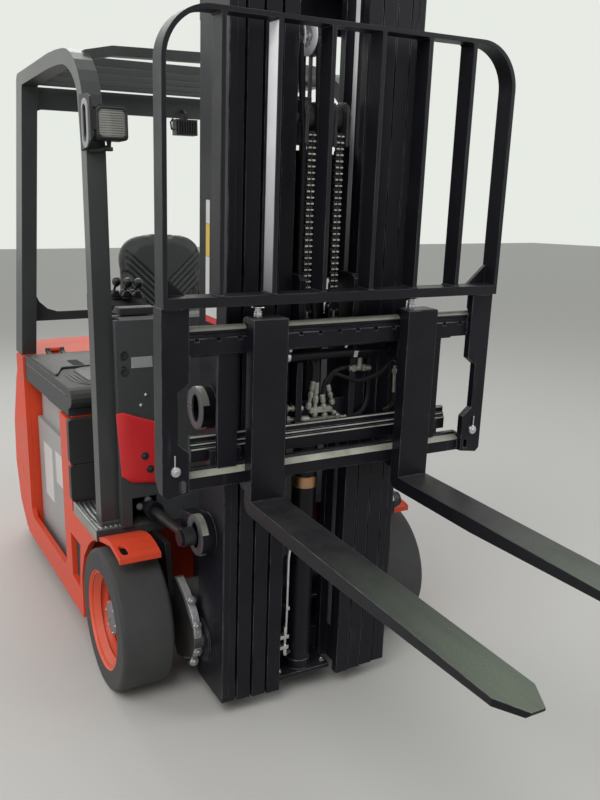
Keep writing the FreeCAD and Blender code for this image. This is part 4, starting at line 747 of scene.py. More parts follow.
def run_repeat(tree, seeds, values, name, body, wears, leaned=False, smooth=35.0, bevel=0.0, joined=None):
    """Runs a tree on seed points, each a place and a direction, and keeps the plain mesh."""
    mesh = bpy.data.meshes.new(name + "_seeds")
    mesh.from_pydata([at(p, leaned) for p, _ in seeds], joined or [], [])
    way = mesh.attributes.new("way", "FLOAT_VECTOR", "POINT")
    turned = []
    for p, d in seeds:
        turned.append((at([p[k] + d[k] for k in range(3)], leaned) - at(p, leaned)).normalized())
    way.data.foreach_set("vector", [x for v in turned for x in v])
    source = bpy.data.objects.new(name + "_source", mesh)
    bpy.context.scene.collection.objects.link(source)
    modifier = source.modifiers.new("Repeat", "NODES")
    modifier.node_group = tree
    for item in tree.interface.items_tree:
        if item.item_type == "SOCKET" and item.in_out == "INPUT" and item.name in values:
            modifier[item.identifier] = values[item.name]
    bpy.context.view_layer.update()
    evaluated = source.evaluated_get(bpy.context.evaluated_depsgraph_get())
    result = bpy.data.meshes.new_from_object(evaluated)
    source.modifiers.remove(modifier)
    bpy.data.objects.remove(source)
    result.name = name
    return settle(result, name, body, wears, bevel, 2, smooth)


def bolt_tree():
    """Hex heads on washers, one at each seed, along its direction."""
    if "Bolt heads" in bpy.data.node_groups:
        return bpy.data.node_groups["Bolt heads"]
    tree, w, i, o = new_repeat("Bolt heads", [
        ("Radius", "NodeSocketFloat", 0.01), ("Height", "NodeSocketFloat", 0.008),
        ("Washer", "NodeSocketFloat", 0.014), ("Washer height", "NodeSocketFloat", 0.002),
        ("Stud", "NodeSocketFloat", 0.005), ("Stud height", "NodeSocketFloat", 0.004),
        ("Finish", "NodeSocketMaterial", None)])
    joined = w.node("GeometryNodeJoinGeometry")
    level = None
    for sides, radius, height in ((6, "Radius", "Height"), (24, "Washer", "Washer height"), (16, "Stud", "Stud height")):
        disc = w.node("GeometryNodeMeshCylinder")
        disc.inputs["Vertices"].default_value = sides
        w.join(i.outputs[radius], disc.inputs["Radius"])
        total = i.outputs[height]
        if sides == 16:
            total = w.maths("ADD", i.outputs["Height"], i.outputs["Stud height"])
        w.join(total, disc.inputs["Depth"])
        raised = w.node("GeometryNodeTransform")
        lift = w.node("ShaderNodeCombineXYZ")
        w.join(w.maths("MULTIPLY", total, 0.5), lift.inputs["Z"])
        w.join(disc.outputs["Mesh"], raised.inputs["Geometry"])
        w.join(lift.outputs[0], raised.inputs["Translation"])
        w.join(raised.outputs["Geometry"], joined.inputs[0])
    place_on_seeds(w, i, o, joined.outputs[0])
    return tree


def place_on_seeds(w, i, o, shape):
    """Puts shape at every seed with its Z along the seed's direction."""
    way = w.node("GeometryNodeInputNamedAttribute", data_type="FLOAT_VECTOR")
    way.inputs["Name"].default_value = "way"
    turn = w.node("FunctionNodeAlignRotationToVector", axis="Z")
    w.join(way.outputs["Attribute"], turn.inputs["Vector"])
    put = w.node("GeometryNodeInstanceOnPoints")
    w.join(i.outputs["Geometry"], put.inputs["Points"])
    w.join(shape, put.inputs["Instance"])
    w.join(turn.outputs["Rotation"], put.inputs["Rotation"])
    real = w.node("GeometryNodeRealizeInstances")
    w.join(put.outputs["Instances"], real.inputs[0])
    wear = w.node("GeometryNodeSetMaterial")
    w.join(real.outputs[0], wear.inputs["Geometry"])
    w.join(i.outputs["Finish"], wear.inputs["Material"])
    w.join(wear.outputs[0], o.inputs[0])


def bolts(name, seeds, body, radius, height, wears="zinc", leaned=False, washer=1.35, stud=0.5):
    """A set of bolt heads on one body, sizes in millimetres."""
    return run_repeat(bolt_tree(), seeds, {
        "Radius": radius / 1000, "Height": height / 1000, "Washer": radius * washer / 1000,
        "Washer height": 0.0022, "Stud": radius * stud / 1000, "Stud height": 0.003,
        "Finish": FINISHES[wears]}, name, body, wears, leaned, 30.0)


def bead_tree():
    """A weld bead: overlapping flattened drops along each line of the source."""
    if "Weld bead" in bpy.data.node_groups:
        return bpy.data.node_groups["Weld bead"]
    tree, w, i, o = new_repeat("Weld bead", [
        ("Radius", "NodeSocketFloat", 0.004), ("Step", "NodeSocketFloat", 0.0035), ("Seed", "NodeSocketInt", 3),
        ("Finish", "NodeSocketMaterial", None)])
    path = w.node("GeometryNodeMeshToCurve")
    w.join(i.outputs["Geometry"], path.inputs[0])
    even = w.node("GeometryNodeResampleCurve", mode="LENGTH")
    w.join(path.outputs[0], even.inputs["Curve"])
    w.join(i.outputs["Step"], even.inputs["Length"])
    drop = w.node("GeometryNodeMeshUVSphere")
    drop.inputs["Segments"].default_value = 8
    drop.inputs["Rings"].default_value = 5
    w.join(i.outputs["Radius"], drop.inputs["Radius"])
    size = w.node("FunctionNodeRandomValue", data_type="FLOAT")
    size.inputs[2].default_value = 0.85
    size.inputs[3].default_value = 1.12
    w.join(i.outputs["Seed"], size.inputs["Seed"])
    put = w.node("GeometryNodeInstanceOnPoints")
    w.join(even.outputs[0], put.inputs["Points"])
    w.join(drop.outputs["Mesh"], put.inputs["Instance"])
    w.join(size.outputs[1], put.inputs["Scale"])
    real = w.node("GeometryNodeRealizeInstances")
    w.join(put.outputs["Instances"], real.inputs[0])
    wear = w.node("GeometryNodeSetMaterial")
    w.join(real.outputs[0], wear.inputs["Geometry"])
    w.join(i.outputs["Finish"], wear.inputs["Material"])
    w.join(wear.outputs[0], o.inputs[0])
    return tree


def welds(name, lines, body, wears, sizes, leaned=False, radius=None):
    """Weld beads along straight lines, each two drawing points."""
    seeds, joined = [], []
    for a, b in lines:
        seeds += [(a, (0, 0, 1)), (b, (0, 0, 1))]
        joined.append((len(seeds) - 2, len(seeds) - 1))
    size = radius or sizes.weld_radius
    return run_repeat(bead_tree(), seeds, {"Radius": size, "Step": size * 0.8, "Seed": 3, "Finish": FINISHES[wears]},
                      name, body, wears, leaned, 60.0, joined=joined)


# ---- mast --------------------------------------------------------------------------------


def chain_tree():
    """A leaf chain: packs of plates that alternate along the path, and a pin at every pitch."""
    tree, w, i, o = new_repeat("Leaf chain", [
        ("Pitch", "NodeSocketFloat", 0.0254), ("Plate height", "NodeSocketFloat", 0.015),
        ("Plate thickness", "NodeSocketFloat", 0.0024), ("Pin radius", "NodeSocketFloat", 0.003),
        ("Finish", "NodeSocketMaterial", None)])
    path = w.node("GeometryNodeMeshToCurve")
    w.join(i.outputs["Geometry"], path.inputs[0])
    even = w.node("GeometryNodeResampleCurve", mode="LENGTH")
    w.join(path.outputs[0], even.inputs["Curve"])
    w.join(i.outputs["Pitch"], even.inputs["Length"])
    parts = w.node("GeometryNodeJoinGeometry")
    index = w.node("GeometryNodeInputIndex")
    odd = w.maths("MODULO", index.outputs[0], 2.0)
    for count, start, which in ((4, -0.0096, "even"), (3, -0.0064, "odd")):
        plate = w.node("GeometryNodeMeshCylinder")
        plate.inputs["Vertices"].default_value = 14
        w.join(w.maths("MULTIPLY", i.outputs["Plate height"], 0.5), plate.inputs["Radius"])
        w.join(i.outputs["Plate thickness"], plate.inputs["Depth"])
        turned = w.node("GeometryNodeTransform")
        w.join(plate.outputs["Mesh"], turned.inputs["Geometry"])
        turned.inputs["Rotation"].default_value = (0.0, math.pi / 2, 0.0)
        longer = w.node("GeometryNodeTransform")
        w.join(turned.outputs[0], longer.inputs["Geometry"])
        longer.inputs["Scale"].default_value = (1.0, 1.0, 1.75)
        row = w.node("GeometryNodeMeshLine")
        row.inputs["Count"].default_value = count
        row.inputs["Start Location"].default_value = (start, 0.0, 0.0)
        row.inputs["Offset"].default_value = (0.0064, 0.0, 0.0)
        pack = w.node("GeometryNodeInstanceOnPoints")
        w.join(row.outputs[0], pack.inputs["Points"])
        w.join(longer.outputs[0], pack.inputs["Instance"])
        put = w.node("GeometryNodeInstanceOnPoints")
        w.join(even.outputs[0], put.inputs["Points"])
        w.join(pack.outputs[0], put.inputs["Instance"])
        w.join(odd if which == "odd" else w.maths("SUBTRACT", 1.0, odd), put.inputs["Selection"])
        w.join(put.outputs[0], parts.inputs[0])
    pin = w.node("GeometryNodeMeshCylinder")
    pin.inputs["Vertices"].default_value = 12
    w.join(i.outputs["Pin radius"], pin.inputs["Radius"])
    pin.inputs["Depth"].default_value = 0.0255
    across = w.node("GeometryNodeTransform")
    w.join(pin.outputs["Mesh"], across.inputs["Geometry"])
    across.inputs["Rotation"].default_value = (0.0, math.pi / 2, 0.0)
    across.inputs["Translation"].default_value = (0.0, 0.0, 0.0066)
    put = w.node("GeometryNodeInstanceOnPoints")
    w.join(even.outputs[0], put.inputs["Points"])
    w.join(across.outputs[0], put.inputs["Instance"])
    w.join(put.outputs[0], parts.inputs[0])
    real = w.node("GeometryNodeRealizeInstances")
    w.join(parts.outputs[0], real.inputs[0])
    wear = w.node("GeometryNodeSetMaterial")
    w.join(real.outputs[0], wear.inputs["Geometry"])
    w.join(i.outputs["Finish"], wear.inputs["Material"])
    w.join(wear.outputs[0], o.inputs[0])
    return tree


def rung_tree():
    """Pale rungs of a leaf chain, two at every pitch beside its centre and in front of its plates: a painted highlight
    on the plates' curved edges.
    """
    tree, w, i, o = new_repeat("Chain highlight rungs", [
        ("Pitch", "NodeSocketFloat", 0.0159), ("Radius", "NodeSocketFloat", 0.0024),
        ("Length", "NodeSocketFloat", 0.0085), ("Finish", "NodeSocketMaterial", None)])
    path = w.node("GeometryNodeMeshToCurve")
    w.join(i.outputs["Geometry"], path.inputs[0])
    even = w.node("GeometryNodeResampleCurve", mode="LENGTH")
    w.join(path.outputs[0], even.inputs["Curve"])
    w.join(i.outputs["Pitch"], even.inputs["Length"])
    pair = w.node("GeometryNodeJoinGeometry")
    for side in (-1, 1):
        rung = w.node("GeometryNodeMeshCylinder")
        rung.inputs["Vertices"].default_value = 12
        w.join(i.outputs["Radius"], rung.inputs["Radius"])
        w.join(i.outputs["Length"], rung.inputs["Depth"])
        beside = w.node("GeometryNodeTransform")
        w.join(rung.outputs["Mesh"], beside.inputs["Geometry"])
        beside.inputs["Rotation"].default_value = (0.0, math.pi / 2, 0.0)
        beside.inputs["Translation"].default_value = (side * 0.0065, -0.0080, 0.0)
        w.join(beside.outputs[0], pair.inputs[0])
    put = w.node("GeometryNodeInstanceOnPoints")
    w.join(even.outputs[0], put.inputs["Points"])
    w.join(pair.outputs[0], put.inputs["Instance"])
    real = w.node("GeometryNodeRealizeInstances")
    w.join(put.outputs[0], real.inputs[0])
    wear = w.node("GeometryNodeSetMaterial")
    w.join(real.outputs[0], wear.inputs["Geometry"])
    w.join(i.outputs["Finish"], wear.inputs["Material"])
    w.join(wear.outputs[0], o.inputs[0])
    return tree


class TRUCK_OT_chains(bpy.types.Operator):
    """Leaf chains between carriage and crosshead, with their anchor pins"""

    bl_idname = "truck.chains"
    bl_label = "Lift chains"

    def execute(self, context):
        sizes = context.scene.truck_sizes
        seeds = []
        for s in (-1, 1):
            seeds += [((s * 44, 124, 1296), (0, 0, 1)), ((s * 44, 124, 1738), (0, 0, 1))]
        chain = run_repeat(chain_tree(), seeds, {
            "Pitch": sizes.link_pitch, "Plate height": 0.015, "Plate thickness": 0.0024, "Pin radius": 0.003,
            "Finish": FINISHES["chain steel"]}, "chain_links", None, "chain steel", True, 40.0,
            joined=[(0, 1), (2, 3)])
        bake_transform(chain)
        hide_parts("lift_chains")
        # Pale rungs in front of the plates paint the highlights on the chain plates' curved edges.
        rungs = run_repeat(rung_tree(), seeds, {
            "Pitch": sizes.link_pitch, "Radius": 0.0026, "Length": 0.0088, "Finish": FINISHES["painted chain highlight"]},
            "chain_highlight_rungs", None, "painted chain highlight", True, 40.0, joined=[(0, 1), (2, 3)])
        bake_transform(rungs)
        pins = Stock()
        for s in (-1, 1):
            pins.bar((s * 44 - 19, 116, 1274), (s * 44 + 19, 116, 1274), 5.5, 16)
            pins.bar((s * 44, 116, 1236), (s * 44, 116, 1262), 8, 16)
        pins.done("chain_anchor_pins", "carriage", "zinc", "steel", True)
        bolts("chain_anchor_rivets", [((s * 44 + k, 108.5, z), (0, -1, 0)) for s in (-1, 1) for k in (-9, 9)
                                      for z in (1240, 1262)], "carriage", 4.2, 3.0, "chain steel", True)
        return {"FINISHED"}


class TRUCK_OT_crosshead(bpy.types.Operator):
    """Hose sheaves, bolts and hose run of the crosshead"""

    bl_idname = "truck.crosshead"
    bl_label = "Crosshead"

    def execute(self, context):
        sheaves = Stock()
        for x, z in ((-78, 1985), (-24, 1990)):
            profile = [(27, -13), (46, -13), (49, -11), (49.5, -8), (44, -5.5), (41, 0), (44, 5.5), (49.5, 8),
                       (49, 11), (46, 13), (27, 13), (27, -13)]
            sheaves.lathe(profile, (x, 176, z), (1, 0, 0), 40)
            for k in range(3):
                a = math.radians(120 * k + 20)
                c, n = math.cos(a), math.sin(a)
                sheaves.bar((x, 176 + 8 * c, z + 8 * n), (x, 176 + 30 * c, z + 30 * n), 5.0, 10)
            sheaves.bar((x - 14, 176, z), (x + 14, 176, z), 10, 20)
        sheaves.done("hose_sheaves", "crosshead", "sheave", "cover_plastic", True)
        bolts("hose_sheave_bolts", [((-93, 176, 1985), (-1, 0, 0)), ((-39, 176, 1990), (-1, 0, 0))], "crosshead",
              9, 6, leaned=True)
        seeds = [((s * 71, y, z), (s, 0, 0)) for s in (-1, 1) for y, z in ((163, 1783),)]
        bolts("crosshead_pins", seeds, "crosshead", 13, 8, "bare steel", leaned=True)
        ears = Stock()
        for s in (-1, 1):
            outline = [(108, 1716), (106, 1790), (118, 1818), (140, 1829), (176, 1829), (192, 1812), (196, 1716)]
            ears.prism(outline, 0, s * 66.5, s * 71.0)
            outline = [(118, 1716), (122, 1760), (150, 1772), (180, 1760), (186, 1716)]
            ears.prism(outline, 0, s * 71.0, s * 75.0)
        ears.done("crosshead_cheeks", "crosshead", "cast iron", "iron", True, 1.6)
        hose = Stock()
        for x, z, lift in ((-78, 1985, 0), (-24, 1990, 0)):
            loop = [(x, 133.0, 1330.0), (x, 133.5, 1500.0), (x, 133.5, 1700.0), (x, 133.0, 1900.0)]
            for k in range(0, 13):
                a = math.radians(180 - 15 * k)
                loop.append((x, 176 + 43 * math.cos(a), z + 43 * math.sin(a)))
            loop += [(x, 219, 1900.0), (x, 219, 1840.0)]
            hose.tube(loop[4:], 8.0, 12)
        hose.done("hose_arches", "crosshead", "hose rubber", "cover_plastic", True)
        front = Stock()
        for foot, top in ((-68, -78), (-24, -24)):
            steps = []
            for k in range(0, 21):
                z = 1345 + k * 31.0
                t = min(max((z - 1690) / 260.0, 0.0), 1.0)
                t = t * t * (3 - 2 * t)
                steps.append((foot + (top - foot) * t, 118.0 + 15.0 * t + 0.8 * math.sin(k * 0.6), z))
            front.tube(steps, 8.0, 12)
        front = front.done("hose_runs_front", None, "hose rubber", "cover_plastic", True)
        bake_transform(front)
        back = Stock()
        for x in (-78, -24):
            back.tube([(x, 219 - 9 * min(1.0, k / 4.0), 1900 - k * 30.0) for k in range(0, 22)], 8.0, 12)
        back = back.done("hose_runs_back", None, "hose rubber", "cover_plastic", True)
        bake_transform(back)
        return {"FINISHED"}


class TRUCK_OT_mast_fittings(bpy.types.Operator):
    """Bearing straps, wear strips with a painted reflection, lug rims with painted highlights, pins, pipes and bolts of
    the mast stages
    """

    bl_idname = "truck.mast_fittings"
    bl_label = "Mast fittings"

    def execute(self, context):
        # Polished wear strips where the rollers run; their near white colour, darker lower down, is a painted
        # reflection.
        strips = Stock()
        for s in (-1, 1):
            strips.block(s * 131.8, s * 133.2, 188, 208, 190, 2140)
        strips.done("stage_4_wear_strips_with_painted_reflection", "mast_4", "painted reflection strip", "steel", True)
        shield = Stock()
        shield.prism(rounded(-103, 103, 1330, 1700, 34), 1, 229.5, 232.0)
        shield.done("hose_shield", "mast_4", "mast paint", "mast_black", True, 0.5)
        strips = Stock()
        for s in (-1, 1):
            strips.block(s * 271.0, s * 292.0, 105.1, 106.1, 90, 2120)
        strips.done("stage_1_edge_strips", "mast_1", "mast paint", "mast_black", True, 0.4)
        straps = Stock()
        wave = [(402, 363), (362, 347), (318, 320), (285, 288), (270, 262), (262, 240), (258, 214), (262, 176),
                (276, 146), (306, 124), (346, 104), (392, 92)]
        inner = [(402, 353), (366, 338), (325, 312), (293, 281), (279, 256), (271, 236), (267, 214), (271, 180),
                 (284, 153), (311, 132), (349, 113), (392, 101)]
        path = [(y - 21 if 140 < z < 290 else y - 16, z) for y, z in wave]
        straps.prism(path + list(reversed(inner)), 0, 305, 329)
        straps.mirrored()
        straps.done("bearing_straps", "chassis", "worn strap", "iron", False, 2.0)
        seeds = []
        for s in (-1, 1):
            for y, z in ((289, 322), (247, 256), (245, 168), (278, 118)):
                seeds.append(((s * 317, y, z), (0, -1, 0)))
        bolts("bearing_bolts", seeds, "chassis", 11, 9, "zinc")
        # Bright bands on the lug rims, only over the arcs where light catches them: painted highlights.
        caps = Stock()
        for s in (-1, 1):
            for y, z in ((215, 590), (215, 982)):
                for start, end, x0, x1 in ((20, 118, 318, 337), (135, 165, 322, 338), (-64, -48, 320, 337)):
                    band = []
                    for k in range(13):
                        a = math.radians(start + (end - start) * k / 12.0)
                        c, n = math.cos(a), math.sin(a)
                        band.append([(s * x, y - r * c, z + r * n)
                                     for x, r in ((x0, 61.5), (x0, 62.6), (x1, 62.6), (x1, 61.5))])
                    caps.loft(band)
        caps.done("lug_rim_highlights", "mast_1", "painted rim highlight", "mast_black", True)
        faces = Stock()
        for s in (-1, 1):
            for y, z in ((215, 590), (215, 982)):
                rings = []
                for k in range(49):
                    a = math.radians(7.5 * k)
                    c, n = math.cos(a), math.sin(a)
                    rings.append([(s * x, y + ry * c, z + rz * n) for x, ry, rz in (
                        (333.0, 27.5, 41.0), (338.6, 27.5, 41.0), (339.0, 28.2, 41.8), (339.0, 60.0, 60.0),
                        (338.4, 61.0, 61.0), (333.0, 61.0, 61.0))])
                faces.loft(rings[:-1] + [rings[0]])
        faces.done("lug_faces", "mast_1", "lug grey", "mast_black", True)
        seeds = [((s * 372, 215, 590), (s, 0, 0)) for s in (-1, 1)]
        bolts("tilt_eye_bolts", seeds, "mast_1", 15, 9, "zinc", True)
        pipe = Stock()
        pipe.tube([(-74, 122, 172), (-74, 122, 236), (-71, 122, 270), (-70.5, 122, 330), (-70.5, 122, 500),
                   (-66, 126, 522), (-54, 137, 532), (-36, 152, 534)], 5.0, 10)
        for z, x0 in ((196, -97), (232, -97), (330, -77)):
            pipe.block(x0, -64, 113, 130, z, z + 12)
        pipe.hexagon((-74, 122, 178), (0, 0, 1), 9.5, 26)
        pipe.hexagon((-74, 122, 250), (0, 0, 1), 8.5, 20)
        pipe.bar((-74, 122, 176), (-44, 150, 160), 8, 14)
        pipe.done("lift_pipe", "mast_4", "zinc", "steel", True, 0.8)
        ring = Stock()
        ring.lathe([(37.8, 0), (39.4, 0.5), (39.8, 2), (39.8, 34), (39.2, 36), (37.8, 36), (37.8, 0)], (0, 168, 716),
                   (0, 0, 1), 40)
        ring.done("cylinder_collar", "mast_4", "brass", "steel", True)
        seeds = [((x, 150 + 0 * x, 98.5), (0, 0, 1)) for x in (-80, 80)]
        bolts("cylinder_foot_bolts", seeds, "mast_4", 10, 7, "zinc", True)
        seeds = []
        for s in (-1, 1):
            for x in (320, 264):
                for z in (1142, 1198):
                    seeds.append(((s * 0 + s * (x - 60), 312, z), (0, 1, 0)))
        bolts("crossmember_bolts", seeds, "mast_1", 9, 6, "zinc", True)
        seams = []
        for s in (-1, 1):
            for z0, z1 in ((120, 240), (2020, 2130)):
                seams.append(((s * 289, 297, z0), (s * 289, 297, z1)))
        welds("stage_1_welds", seams, "mast_1", "mast paint", context.scene.truck_sizes, True)
        return {"FINISHED"}


class TRUCK_OT_carriage_fittings(bpy.types.Operator):
    """Hydraulic fittings, hoses and cylinder glands of carriage and sideshifter"""

    bl_idname = "truck.carriage_fittings"
    bl_label = "Carriage fittings"

    def execute(self, context):
        steel = Stock()

        def fitting(a, b, radius):
            a, b = Vector(a), Vector(b)
            way = (b - a).normalized()
            long = (b - a).length
            steel.bar(a, b, radius * 0.72, 14)
            steel.hexagon(a + way * long * 0.04, way, radius * 1.2, long * 0.2)
            steel.hexagon(a + way * long * 0.42, way, radius * 1.1, long * 0.18, 0.3)
            steel.bar(a + way * long * 0.66, b, radius, 16, radius * 0.3)

        y = 76.0
        fitting((-128, y, 996), (-66, y, 990), 9)
        fitting((-128, y, 962), (-44, y, 956), 10)
        fitting((-48, y, 984), (-36, y - 4, 1070), 7.5)
        fitting((-26, y, 960), (-26, y - 6, 1066), 8)
        fitting((10, y, 950), (-6, y - 5, 1028), 8)
        fitting((34, y, 992), (10, y - 6, 1056), 7.5)
        fitting((20, y + 2, 982), (60, y + 2, 950), 8)
        fitting((44, y, 946), (92, y, 950), 8)
        steel.block(-60, 40, y - 9, y + 9, 940, 958)
        steel.block(-44, 24, y - 7, y + 7, 974, 990)
        steel.bar((76, y - 10, 1099), (116, y - 10, 1096), 8, 16)
        steel.hexagon((84, y - 10, 1098), (1, 0, 0), 12, 14)
        steel.hexagon((120, y - 10, 1096), (1, 0, 0), 11, 12)
        steel.bar((132, y - 10, 1095), (150, y - 10, 1094), 8, 16)
        steel.bar((112, y - 10, 1096), (112, y - 10, 1128), 8, 16)
        steel.bar((238, 66, 1094), (240, 66, 1010), 4.5, 12)
        steel.hexagon((238, 66, 1084), (0, 0, -1), 8, 14)
        steel.done("hose_fittings", "carriage", "old zinc", "steel", True, 0.5)
        base = Stock()
        base.block(-140, 104, 64, 78, 922, 941)
        base.block(-140, -120, 64, 100, 922, 1010)
        base.prism([(-118, 941), (-100, 1008), (86, 1008), (104, 941)], 1, 86, 90)
        base.done("fitting_bracket", "carriage", "mast paint", "mast_black", True, 1.2)
        hoses = Stock()

        def hose(points, radius=8.5):
            smooth = []
            for k in range(len(points) - 1):
                p0 = Vector(points[max(k - 1, 0)])
                p1, p2 = Vector(points[k]), Vector(points[k + 1])
                p3 = Vector(points[min(k + 2, len(points) - 1)])
                for j in range(6):
                    t = j / 6.0
                    smooth.append(0.5 * ((2 * p1) + (p2 - p0) * t + (2 * p0 - 5 * p1 + 4 * p2 - p3) * t * t
                                         + (3 * p1 - p0 - 3 * p2 + p3) * t ** 3))
            smooth.append(Vector(points[-1]))
            hoses.tube(smooth, radius, 12)

        hose([(-36, 72, 1070), (-34, 76, 1110), (-44, 90, 1150), (-62, 102, 1230), (-68, 113, 1310), (-68, 118, 1350)])
        hose([(-26, 70, 1066), (-24, 76, 1120), (-24, 92, 1180), (-24, 104, 1260), (-24, 115, 1320), (-24, 118, 1350)])
        hose([(-6, 71, 1028), (0, 66, 1064), (20, 62, 1090), (52, 60, 1102), (76, 66, 1100)], 6.0)
        hose([(10, 70, 1056), (26, 64, 1086), (60, 60, 1076), (110, 60, 1060), (180, 62, 1076), (222, 66, 1106),
              (238, 66, 1100)], 6.0)
        hose([(-128, 76, 996), (-150, 78, 1010), (-162, 84, 1050), (-160, 88, 1110)], 7.0)
        hose([(92, 76, 950), (130, 80, 955), (160, 90, 990), (164, 98, 1060), (158, 96, 1120)], 7.0)
        hose([(240, 66, 1012), (240, 68, 985), (232, 74, 965), (216, 80, 955)], 6.0)
        hoses.done("carriage_hoses", "carriage", "hose rubber", "cover_plastic", True)
        glands = Stock()
        glands.hexagon((80, 62, 1148), (1, 0, 0), 19.5, 15)
        glands.lathe([(9.2, 0), (15.4, 0), (17, 2), (17, 10), (15.4, 12), (9.2, 12), (9.2, 0)], (-135, 62, 1148), (1, 0, 0))
        glands.bar((-120, 62, 1148), (-120, 62, 1174), 6, 14)
        glands.bar((60, 62, 1148), (60, 62, 1172), 6, 14)
        glands.hexagon((-120, 62, 1166), (0, 0, 1), 9, 8)
        glands.hexagon((60, 62, 1166), (0, 0, 1), 9, 8)
        glands.done("sideshift_glands", "carriage", "zinc", "steel", True, 0.4)
        nut = Stock()
        nut.hexagon((SHIFT_LUG + 8, 62, 1148), (1, 0, 0), 14, 10)
        nut.lathe([(9.5, 0), (18, 0), (18, 2.4), (9.5, 2.4), (9.5, 0)], (SHIFT_LUG + 8, 62, 1148), (1, 0, 0))
        nut.done("sideshift_rod_nut", "sideshifter", "zinc", "steel", True)
        return {"FINISHED"}


SHIFT_LUG = 215.0


class TRUCK_OT_fork_fittings(bpy.types.Operator):
    """Fork latches, side bolts, stops and welds of the sideshifting frame"""

    bl_idname = "truck.fork_fittings"
    bl_label = "Fork fittings"

    def execute(self, context):
        sizes = context.scene.truck_sizes
        latch = Stock()
        for x in (-256, 226):
            latch.lathe([(0, 32), (14, 32), (18.5, 30.5), (19, 28.5), (17, 26.8), (9, 25.5), (8, 22), (8, 14), (9.5, 12.5),
                         (9.5, 8), (7, 7), (6, 4), (6, 0), (0, 0)], (x, -10, 1275.2), (0, 0, 1), 28)
            coil = [(x + 10.2 * math.cos(k * 0.5), -10 + 10.2 * math.sin(k * 0.5), 1277 + k * 0.32)
                    for k in range(0, 50)]
            latch.tube(coil, 1.3, 6)
        latch.done("fork_latches", "sideshifter", "zinc", "steel", True)
        plates = Stock()
        for x in (-231, 251):
            plates.prism([(x - 47, -36), (x + 47, -36), (x + 47, 16), (x + 40, 20), (x - 40, 20), (x - 47, 16)], 2,
                         1275.0, 1276.4)
        plates.done("fork_top_faces", "sideshifter", "fork paint", "fork_black", True, 0.5)
        heads = Stock()
        for s in (-1, 1):
            heads.lathe([(0, 9.5), (8, 9.5), (12.5, 8), (14.2, 5), (14.4, 0), (0, 0)], (s * 485, -16.1, 889),
                        (0, -1, 0), 28)
            heads.hexagon((s * 485, -24, 889), (0, -1, 0), 6.5, 3.2)
            heads.bar((s * 487, -19.5, 902), (s * 487, -19.5, 933), 2.4, 10)
        heads.done("side_bolts", "sideshifter", "zinc", "steel", True)
        lines = []
        for k in range(6):
            x = (k - 2.5) * 147.0
            for y in (-31, 26):
                lines.append(((x - 6.5, y + (1.5 if y < 0 else -1.5), 1338), (x + 6.5, y + (1.5 if y < 0 else -1.5), 1338)))
            for side in (-7, 7):
                lines.append(((x + side, -28, 1338), (x + side, 23, 1338)))
                lines.append(((x + side, -28, 1990), (x + side, 23, 1990)))
        # A thin sheet on the side face of a backrest bar that carries a painted reflection, bright at the top and
        # dimmer lower down.
        reflection_sheet = Stock()
        reflection_sheet.block(-227.1, -226.3, -28.0, 21.0, 1338, 1990)
        reflection_sheet.done("backrest_painted_reflection", "sideshifter", "painted reflection strip", "steel", True, 0.3)
        welds("backrest_welds", lines, "sideshifter", "rest paint", sizes, True, 0.0035)
        lines = []
        for s in (-1, 1):
            for z in (1190, 1225, 828, 874):
                lines.append(((s * 446, 2, z), (s * 446, 30, z)))
            lines.append(((s * 447, 2, 1188), (s * 447, 2, 1224)))
            lines.append(((s * 447, 3, 828), (s * 447, 3, 856)))
            lines.append(((s * 508, -14, 1308), (s * 458, -14, 1308)))
        welds("frame_welds", lines, "sideshifter", "mast paint", sizes, True, 0.005)
        strip = Stock()
        strip.prism([(-1.2, 857.6), (12.1, 872.2), (12.9, 871.5), (-0.2, 857.0)], 0, -446, 446)
        strip.done("lower_bar_face", "sideshifter", "worn face", "mast_black", True, 0.3)
        lip = Stock()
        outline = [(13.3 + 13.7 * math.cos(math.radians(a)), 1245 + 13.7 * math.sin(math.radians(a)))
                   for a in range(40, 171, 10)]
        outline += [(13.3 + 12.6 * math.cos(math.radians(a)), 1245 + 12.6 * math.sin(math.radians(a)))
                    for a in range(170, 39, -10)]
        for x0, x1 in ((-451, -283), (-178, 199), (303, 451)):
            lip.prism(outline, 0, x0, x1)
        lip.done("upper_bar_lip", "sideshifter", "worn bar", "mast_black", True)
        wear = Stock()
        for y, z0, z1 in ((50.4, 950.0, 954.2), (45.4, 930.8, 934.2), (40.4, 918.4, 922.0)):
            wear.block(-419, 419, y, y + 0.8, z0, z1)
        wear.done("carriage_bar_rubs", "carriage", "edge steel", "mast_black", True, 0.2)
        return {"FINISHED"}


# ---- wheels, steps and chassis -----------------------------------------------------------


